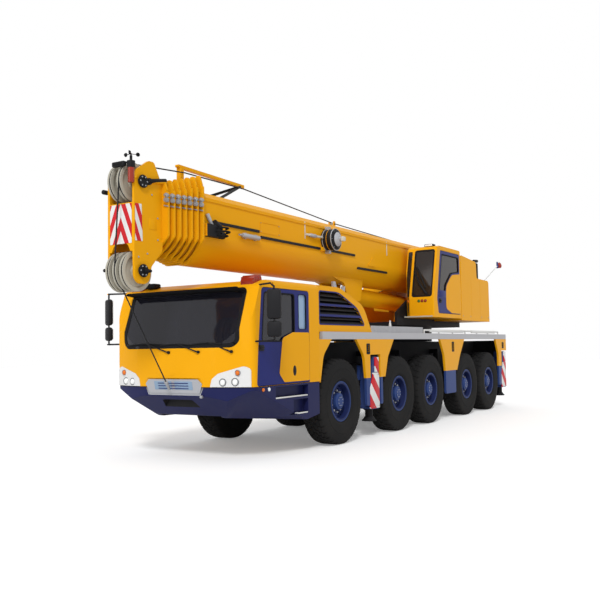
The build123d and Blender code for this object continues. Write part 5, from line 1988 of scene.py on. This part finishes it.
# ---------------- boom
@dataclass
class Boom(Assembly):
    """Telescopic boom with its head, ropes, reel and luffing cylinder."""

    half_width: float = 0.47
    step: float = 0.028
    sections: int = 6
    collar_x: float = 5.48
    collar_pitch: float = 0.1
    sheave_x: float = 6.51
    upper_z: float = 4.11
    lower_z: float = 2.825
    plate_y: float = 0.26
    rope: float = 0.011
    groove: float = 0.277
    # angle in degrees that the rope stays on the lower sheave
    wrap: float = 62.0
    # y of each sheave on the upper and on the lower shaft
    upper_sheaves: tuple[float, ...] = (-0.09, 0.09)
    lower_sheaves: tuple[float, ...] = (-0.135, 0.0, 0.135)
    reel_x: float = 1.62
    reel_z: float = 3.77

    def _collar_zones(self, index: int) -> list[Zone]:
        """Return the zones of one collar.

        Args:
            index: Its section, from 0 for the base.

        Returns:
            The zone of the locking pins and that of the painted collar.
        """
        mouth = self.collar_x + index * self.collar_pitch
        return [
            Zone((mouth - 0.012, 0.25, 3.86), (mouth + 0.05, 0.62, 4.01), ZINC),
            Zone((mouth - 0.15, 0.0, 2.4), (mouth + 0.15, 0.7, 4.6), PAINT_YELLOW),
        ]

    def build(self) -> None:
        """Dress the boom's frame nodes."""
        self.redress(
            "boom_base", "boom_base", PAINT_YELLOW, *self._collar_zones(0),
            Zone((3.89, 0.45, 3.64), (5.11, 0.5, 3.71), MOULDING),
            Zone((0.44, 0.45, 3.55), (3.86, 0.5, 3.62), MOULDING),
            Zone((-1.11, 0.42, 3.3), (0.31, 0.48, 3.37), MOULDING),
            Zone((4.9, 0.44, 3.4), (5.43, 0.6, 3.75), MOULDING, False),
            Zone((1.4, 0.455, 3.56), (1.84, 0.701, 3.98), MOULDING, False),
            Zone((1.4, 0.699, 3.56), (1.84, 0.9, 3.98), MOULDING, False),
            Zone((1.55, 0.44, 3.5), (1.69, 0.57, 4.04), SILVER, False),
            Zone((3.75, 0.0, 4.12), (4.85, 0.36, 4.56), ENAMEL),
        )
        for index in range(1, self.sections):
            name = f"boom_section_{index}"
            # The tubes between the collars take the darker orange: painted shade in the gaps, with
            # the grease's gloss.
            self.redress(name, name, GREASED_SHADED_YELLOW, *self._collar_zones(index))
        self.redress(
            "boom_section_6", "boom_section_6", PAINT_YELLOW,
            *self._collar_zones(self.sections),
            Zone((6.05, 0.255, 4.09), (6.45, 0.315, 4.21), ENAMEL),
            Zone((6.42, 0.25, 4.02), (6.6, 0.3, 4.2), ENAMEL),
            Zone((6.42, 0.25, 2.74), (6.6, 0.3, 2.91), ENAMEL),
            Zone((6.32, 0.24, 4.03), (6.45, 0.31, 4.19), ENAMEL),
            Zone((6.65, 0.19, 4.06), (6.75, 0.29, 4.3), RED_LENS),
            Zone((6.68, 0.22, 4.27), (6.72, 0.26, 4.45), ENAMEL),
        )
        self.redress(
            "head_sheaves", "boom_section_6", CREAM_NYLON,
            Zone((6.44, 0.0, 2.7), (6.58, 0.22, 2.9), ENAMEL),
            Zone((6.44, 0.0, 4.04), (6.58, 0.22, 4.18), ENAMEL),
        )
        self.redress("luffing_barrel", "luffing_barrel", PAINT_YELLOW)
        self.redress(
            "luffing_rod", "luffing_rod", ENAMEL,
            Zone((-3.0, 0.0, 2.55), (-0.02, 0.135, 2.95), ROD_CHROME),
        )

    def dress(self) -> None:
        """Add boards, shaft caps, gauge, ropes, collar pins, side fittings and the reel."""
        self._boards()
        self._head()
        self._gauge()
        self._ropes()
        self._collar_pins()
        self._side_fittings()
        self._reel()
        self._hoses()

    def _boards(self) -> None:
        """Add the striped boards of the head."""
        boards = Piece("head_boards", "boom_section_6")
        front = rectangle(-0.212, 0.212, 3.215, 3.785)
        boards.plate(
            [(6.66, y, z) for y, z in front], (0.004, 0.0, 0.0), HEAD_CHEVRON, rounding=0.01
        )
        flank = ((6.495, 3.25), (6.645, 3.25), (6.645, 3.785), (6.515, 3.785))
        for _, side in SIDES:
            boards.plate(
                on_side(flank, side * self.plate_y), (0.0, side * 0.004, 0.0),
                HEAD_SIDE_BANDS, rounding=0.01,
            )
        boards.done()

    def _head(self) -> None:
        """Add the shaft caps, black rings of painted shade in the sheave grooves, bolts and small
        lamps of the head.
        """
        caps = Piece("head_shaft_caps", "boom_section_6")
        cap = (
            (0.0, 0.0), (0.0, 0.095), (0.012, 0.095), (0.018, 0.086), (0.018, 0.045),
            (0.01, 0.038), (0.01, 0.0),
        )
        for z in (self.upper_z, self.lower_z):
            for _, side in SIDES:
                place = facing((self.sheave_x, side * 0.288, z), (0, side, 0))
                caps.spun(cap, place, ENAMEL, 36)
                feet = [
                    place @ Vector((0.068 * cosine, 0.068 * sine, 0.016))
                    for cosine, sine in turns(6)
                ]
                caps.bolts(feet, (0.0, side * 0.01, 0.0), 0.011, 0.001)
        # Black rings in the bottom of every sheave groove: painted shade in the grooves.
        groove = ((-0.0125, 0.2758), (0.0, 0.2556), (0.0125, 0.2758), (0.0, 0.264))
        for z, rows in ((self.upper_z, self.upper_sheaves), (self.lower_z, self.lower_sheaves)):
            for y in rows:
                place = facing((self.sheave_x, y, z), ACROSS)
                caps.spun((*groove, groove[0]), place, ENAMEL, 64)
        caps.rod((6.41, 0.286, 4.13), (6.03, 0.286, 4.2), 0.032, ENAMEL, bevel=0.006)
        bolts = ((6.3, 3.95), (6.18, 3.62), (6.18, 3.3), (6.4, 3.08), (6.58, 3.02))
        for _, side in SIDES:
            caps.rod(
                (6.51, side * 0.296, 2.825), (6.36, side * 0.296, 2.83), 0.036, ENAMEL,
                far_radius=0.022, bevel=0.004,
            )
            caps.bolts(on_side(bolts, side * 0.258), (0.0, side * 0.01, 0.0), 0.014, 0.001)
            caps.block((6.2, side * 0.258, 3.44), (6.36, side * 0.264, 3.6), PAINT_YELLOW, 0.002)
        caps.block((6.655, 0.195, 4.29), (6.745, 0.285, 4.385), MOULDING, 0.012)
        caps.block((6.715, -0.06, 4.305), (6.785, 0.175, 4.38), MOULDING, 0.018)
        caps.block((6.779, -0.035, 4.325), (6.789, 0.15, 4.36), SEAL, 0.003)
        caps.rod((6.73, 0.16, 4.36), (6.7, 0.22, 4.36), 0.014, ENAMEL)
        caps.rod((6.64, -0.25, 4.0), (6.64, -0.33, 4.0), 0.012, ENAMEL)
        caps.rod((6.6, -0.33, 4.0), (6.69, -0.33, 4.0), 0.034, MOULDING, bevel=0.008)
        caps.rod((6.6, -0.25, 2.88), (6.6, -0.36, 2.86), 0.01, ENAMEL)
        caps.rod((6.57, -0.36, 2.86), (6.64, -0.36, 2.86), 0.026, MOULDING, bevel=0.006)
        caps.done()

    def _gauge(self) -> None:
        """Add the three-cup wind gauge on its mast."""
        gauge = Piece("wind_gauge", "boom_section_6")
        top = Vector((6.7, 0.24, 4.455))
        foot = ((-0.175, 0.046), (-0.17, 0.052), (-0.15, 0.052), (-0.145, 0.046), (-0.145, 0.0))
        gauge.spun(foot, facing(top, UP), MOULDING, 28)
        gauge.rod(top - Vector((0, 0, 0.1)), top, 0.02, MOULDING, bevel=0.004)
        gauge.rod(top, top + Vector((0, 0, 0.03)), 0.012, MOULDING)
        hub = top + Vector((0, 0, 0.02))
        cup = (
            (0.03, 0.0), (0.025, 0.016), (0.012, 0.026), (0.0, 0.03), (0.0, 0.026),
            (0.011, 0.022), (0.022, 0.013), (0.026, 0.0),
        )
        for index in range(3):
            angle = math.tau * index / 3 + 0.5
            out = Vector((math.cos(angle), math.sin(angle), 0.0))
            gauge.rod(hub, hub + out * 0.085, 0.005, MOULDING, segments=8)
            turn = Vector((-out.y, out.x, 0.0))
            gauge.spun(cup, facing(hub + out * 0.1, turn), MOULDING, 20)
        gauge.done()

    def _ropes(self) -> None:
        """Add the hoist rope over the boom and down through the head to the nose."""
        upper = Vector((self.sheave_x, 0.09, self.upper_z))
        lower = Vector((self.sheave_x, 0.0, self.lower_z))
        head = Piece("head_rope", "boom_section_6")
        rear = Vector((6.12, 0.09, 4.415))
        slope = Vector((-0.39, 0.0, 0.045)).normalized()
        up = Vector((-slope.z, 0.0, slope.x)) * -1.0
        head.rod(rear, upper + up * self.groove, self.rope, ROPE_STEEL, segments=10)
        angle = math.degrees(math.atan2(up.x, up.z))
        head.bend(upper, self.groove, ACROSS, up, 90.0 - angle, self.rope, ROPE_STEEL, 16)
        reach = Vector((self.groove, 0.0, 0.0))
        head.rod(upper + reach, lower + reach, self.rope, ROPE_STEEL, segments=10)
        head.bend(lower, self.groove, ACROSS, AHEAD, self.wrap, self.rope, ROPE_STEEL, 16)
        turn = math.radians(self.wrap)
        off = lower + Vector((math.cos(turn), 0.0, -math.sin(turn))) * self.groove
        end = Vector((5.7, -0.02, 1.2))
        head.rod(off, end, self.rope * 0.9, ROPE_STEEL, segments=10)
        heading = (end - off).normalized()
        head.rod(
            end - heading * 0.02, end + heading * 0.13, 0.03, ZINC, far_radius=0.02, bevel=0.004
        )
        head.done()
        line = Piece("boom_rope", "boom_base")
        path = ((6.12, 4.415), (5.36, 4.47), (3.78, 4.47), (0.7, 4.27), (-4.8, 4.16))
        for (x0, z0), (x1, z1) in zip(path, path[1:]):
            line.rod((x0, 0.09, z0), (x1, 0.09, z1), self.rope, ROPE_STEEL, segments=10)
        for x, z in path[3:]:
            for y in (0.02, 0.13):
                line.block((x - 0.03, y, 4.125), (x + 0.03, y + 0.03, z + 0.03), PAINT_YELLOW)
            line.rod((x, 0.02, z - 0.03), (x, 0.16, z - 0.03), 0.022, CREAM_NYLON)
        line.done()

    def _collar_pins(self) -> None:
        """Add pin heads and retaining clips at each collar."""
        for index in range(self.sections + 1):
            body = "boom_base" if index == 0 else f"boom_section_{index}"
            half = self.half_width - index * self.step + 0.055
            mouth = self.collar_x + index * self.collar_pitch
            pins = Piece(f"collar_pins_{index}", body)
            for _, side in SIDES:
                y = side * (half + 0.01)
                for z, radius in ((3.88, 0.02), (3.965, 0.027)):
                    start = Vector((mouth - 0.012, y, z))
                    end = start + Vector((0.07, 0.0, 0.0))
                    pins.rod(start, end, radius, ZINC, segments=16, bevel=0.005)
                pins.bend(
                    (mouth + 0.06, y, 3.922), 0.043, AHEAD, UP, -180.0 * side, 0.006, ZINC, 12
                )
                x = mouth + 0.012
                pins.rod(
                    (x, side * (half - 0.05), 3.82), (x, side * (half + 0.03), 3.8), 0.01, ZINC
                )
            pins.done()

    def _side_fittings(self) -> None:
        """Add the access panels, the sensor and the straps."""
        fittings = Piece("boom_side_fittings", "boom_base")
        panel = rectangle(3.26, 3.86, 3.665, 3.855)
        bolts = [(x, z) for x in (3.28, 3.84) for z in (3.685, 3.835)]
        for _, side in SIDES:
            face = side * self.half_width
            fittings.frame(
                on_side(panel, face), 0.012, (0.0, side * 0.005, 0.0), PAINT_YELLOW, 0.02
            )
            fittings.bolts(on_side(bolts, face), (0.0, side * 0.009, 0.0), 0.008)
        fittings.rod((4.42, 0.512, 3.55), (3.95, 0.512, 3.55), 0.04, SILVER, bevel=0.01)
        fittings.rod((4.51, 0.512, 3.55), (4.42, 0.512, 3.55), 0.018, ZINC)
        fittings.block((1.7, 0.462, 3.546), (1.86, 0.503, 3.624), PAINT_YELLOW, 0.002)
        for x in (4.04, 4.33):
            fittings.block((x - 0.02, 0.468, 3.5), (x + 0.02, 0.516, 3.6), SILVER, 0.006)
        for x in (2.4, -1.1):
            fittings.block((x - 0.014, 0.47, 3.72), (x + 0.014, 0.477, 4.04), STRAP_PALE, 0.001)
        fittings.done()

    def _reel(self) -> None:
        """Add the hose reel's rings, arms, hub and hose."""
        reel = Piece("reel_trim", "boom_base")
        x, z = self.reel_x, self.reel_z
        ring = ((0.0, 0.204), (0.0, 0.214), (0.014, 0.214), (0.014, 0.204), (0.0, 0.204))
        for y in (0.5, 0.688):
            reel.spun(ring, facing((x, y, z), ACROSS), SILVER, 48)
        band = ((0.0, 0.2045), (0.0, 0.2075), (0.01, 0.2075), (0.01, 0.2045), (0.0, 0.2045))
        reel.spun(band, facing((x, 0.585, z), ACROSS), PAINT_YELLOW, 48)
        centre = Vector((x, 0.704, z))
        for cosine, sine in turns(6):
            arm = Vector((0.185 * cosine, 0.0, 0.185 * sine))
            reel.rod(centre + arm * 0.8, centre + arm, 0.008, SILVER, segments=8)
        reel.rod((x, 0.736, z), (x, 0.79, z), 0.141, SILVER, 0.066, 32, 0.004)
        reel.rod((x, 0.765, z), (x, 0.85, z), 0.048, SILVER, bevel=0.008)
        reel.block((1.565, 0.825, 3.725), (1.675, 0.885, 3.815), STRAP_PALE, 0.015)
        reel.rod((1.83, 0.52, 3.8), (2.4, 0.5, 3.8), 0.02, STRAP_PALE, bevel=0.004)
        reel.rod((2.06, 0.505, 3.8), (2.28, 0.505, 3.8), 0.034, SILVER, bevel=0.006)
        reel.rod((x, 0.5, 3.99), (1.86, 0.5, 3.8), 0.014, ZINC)
        reel.done()

    def _hoses(self) -> None:
        """Add the bent hoses and the round lamps beside the boom's mouth."""
        hoses = Piece("lamp_hoses", "boom_base")
        for z, reach, thick in ((3.46, 0.1, 0.014), (3.52, 0.13, 0.016), (3.58, 0.11, 0.014)):
            hoses.bend((5.05, 0.56, z), reach, UP, AHEAD, 180.0, thick, SEAL, 18)
        for centre, radius in (((4.955, 0.52, 3.48), 0.056), ((5.03, 0.52, 3.585), 0.05)):
            lens = ((0.0, 0.0), (0.0, radius), (0.012, radius), (0.018, radius * 0.8), (0.02, 0.0))
            hoses.spun(lens, facing(centre, (-1, 0, -0.15)), MOULDING, 28)
        hoses.rod((5.2, 0.5, 3.6), (5.32, 0.5, 3.78), 0.03, SILVER, bevel=0.006)
        hoses.done()


# ---------------- scene
@dataclass
class Setting:
    """Camera, lamps, world and floor."""

    eye: Point = (14.655, 7.984, 1.701)
    yaw: float = 211.959
    pitch: float = 3.485
    roll: float = -0.969
    lens: float = 46.57
    sensor: float = 36.0
    far: float = 400.0
    # name, strength, angle in degrees and aim of each sun lamp
    suns: tuple[tuple[str, float, float, Point], ...] = (
        ("key", 1.65, 12.0, (-0.76, -0.42, -0.74)), ("side", 0.45, 30.0, (-0.9, 0.25, -0.35))
    )
    fill: float = 0.56
    floor_lift: float = 0.22
    floor_half: float = 60.0

    def camera(self) -> None:
        """Place the camera."""
        yaw, pitch, roll = (math.radians(turn) for turn in (self.yaw, self.pitch, self.roll))
        ahead = Vector(
            (math.cos(yaw) * math.cos(pitch), math.sin(yaw) * math.cos(pitch), math.sin(pitch))
        )
        right = ahead.cross(Vector(UP)).normalized()
        above = right.cross(ahead)
        across = right * math.cos(roll) + above * math.sin(roll)
        top = above * math.cos(roll) - right * math.sin(roll)
        data = bpy.data.cameras.new("camera")
        data.lens = self.lens
        data.sensor_width = self.sensor
        data.clip_end = self.far
        made = bpy.data.objects.new("camera", data)
        turn = Matrix((across, top, -ahead)).transposed().to_4x4()
        made.matrix_world = Matrix.Translation(Vector(self.eye)) @ turn
        bpy.context.scene.collection.objects.link(made)
        bpy.context.scene.camera = made

    def lamps(self) -> None:
        """Add the sun lamps."""
        for name, strength, angle, aim in self.suns:
            data = bpy.data.lights.new(name, "SUN")
            data.energy = strength
            data.angle = math.radians(angle)
            made = bpy.data.objects.new(name, data)
            made.rotation_euler = Vector(aim).to_track_quat("-Z", "Y").to_euler()
            bpy.context.scene.collection.objects.link(made)

    def world(self) -> None:
        """Light softly from all round and show a white background."""
        world = bpy.data.worlds.new("studio")
        world.use_nodes = True
        graph = Graph(world.node_tree)
        ray = graph.add("LightPath").outputs
        seen = graph.math("MAXIMUM", ray["Is Camera Ray"], ray["Is Transmission Ray"])
        shown = graph.math("MAXIMUM", seen, ray["Is Glossy Ray"])
        strength = graph.add("MapRange", {"Value": shown, "To Min": self.fill, "To Max": 1.0})
        graph.feed(world.node_tree.nodes["Background"], {
            "Color": (1.0, 1.0, 1.0, 1.0), "Strength": strength.outputs["Result"],
        })
        bpy.context.scene.world = world

    def floor(self) -> None:
        """Lay a white floor that keeps the crane's shadow."""
        part = bmesh.new()
        bmesh.ops.create_grid(part, x_segments=1, y_segments=1, size=self.floor_half)
        data = bpy.data.meshes.new("floor")
        part.to_mesh(data)
        part.free()
        made = bpy.data.objects.new("floor", data)
        material = bpy.data.materials.new("floor_white")
        material.use_nodes = True
        graph = Graph(material.node_tree)
        ray = graph.add("LightPath").outputs
        lift = graph.math("MULTIPLY", ray["Is Camera Ray"], self.floor_lift)
        graph.feed(material.node_tree.nodes["Principled BSDF"], {
            "Base Color": (0.92, 0.92, 0.92, 1.0), "Roughness": 0.9,
            "Emission Color": (1.0, 1.0, 1.0, 1.0), "Emission Strength": lift,
        })
        data.materials.append(material)
        bpy.context.scene.collection.objects.link(made)


def main() -> None:
    """Build the crane in order round the frame."""
    logging.basicConfig(level=logging.INFO, format="%(name)s %(message)s")
    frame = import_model()
    setting = Setting()
    setting.camera()
    setting.lamps()
    setting.world()
    setting.floor()
    for kind in (Carrier, Wheels, DriverCab, UpperWorks, Boom):
        assembly = kind(frame["nodes"])
        assembly.build()
        assembly.dress()
        log.info("%s is done", kind.__name__)
    bpy.context.scene.view_settings.view_transform = "Standard"
    bpy.context.view_layer.update()


if __name__ == "__main__":
    main()
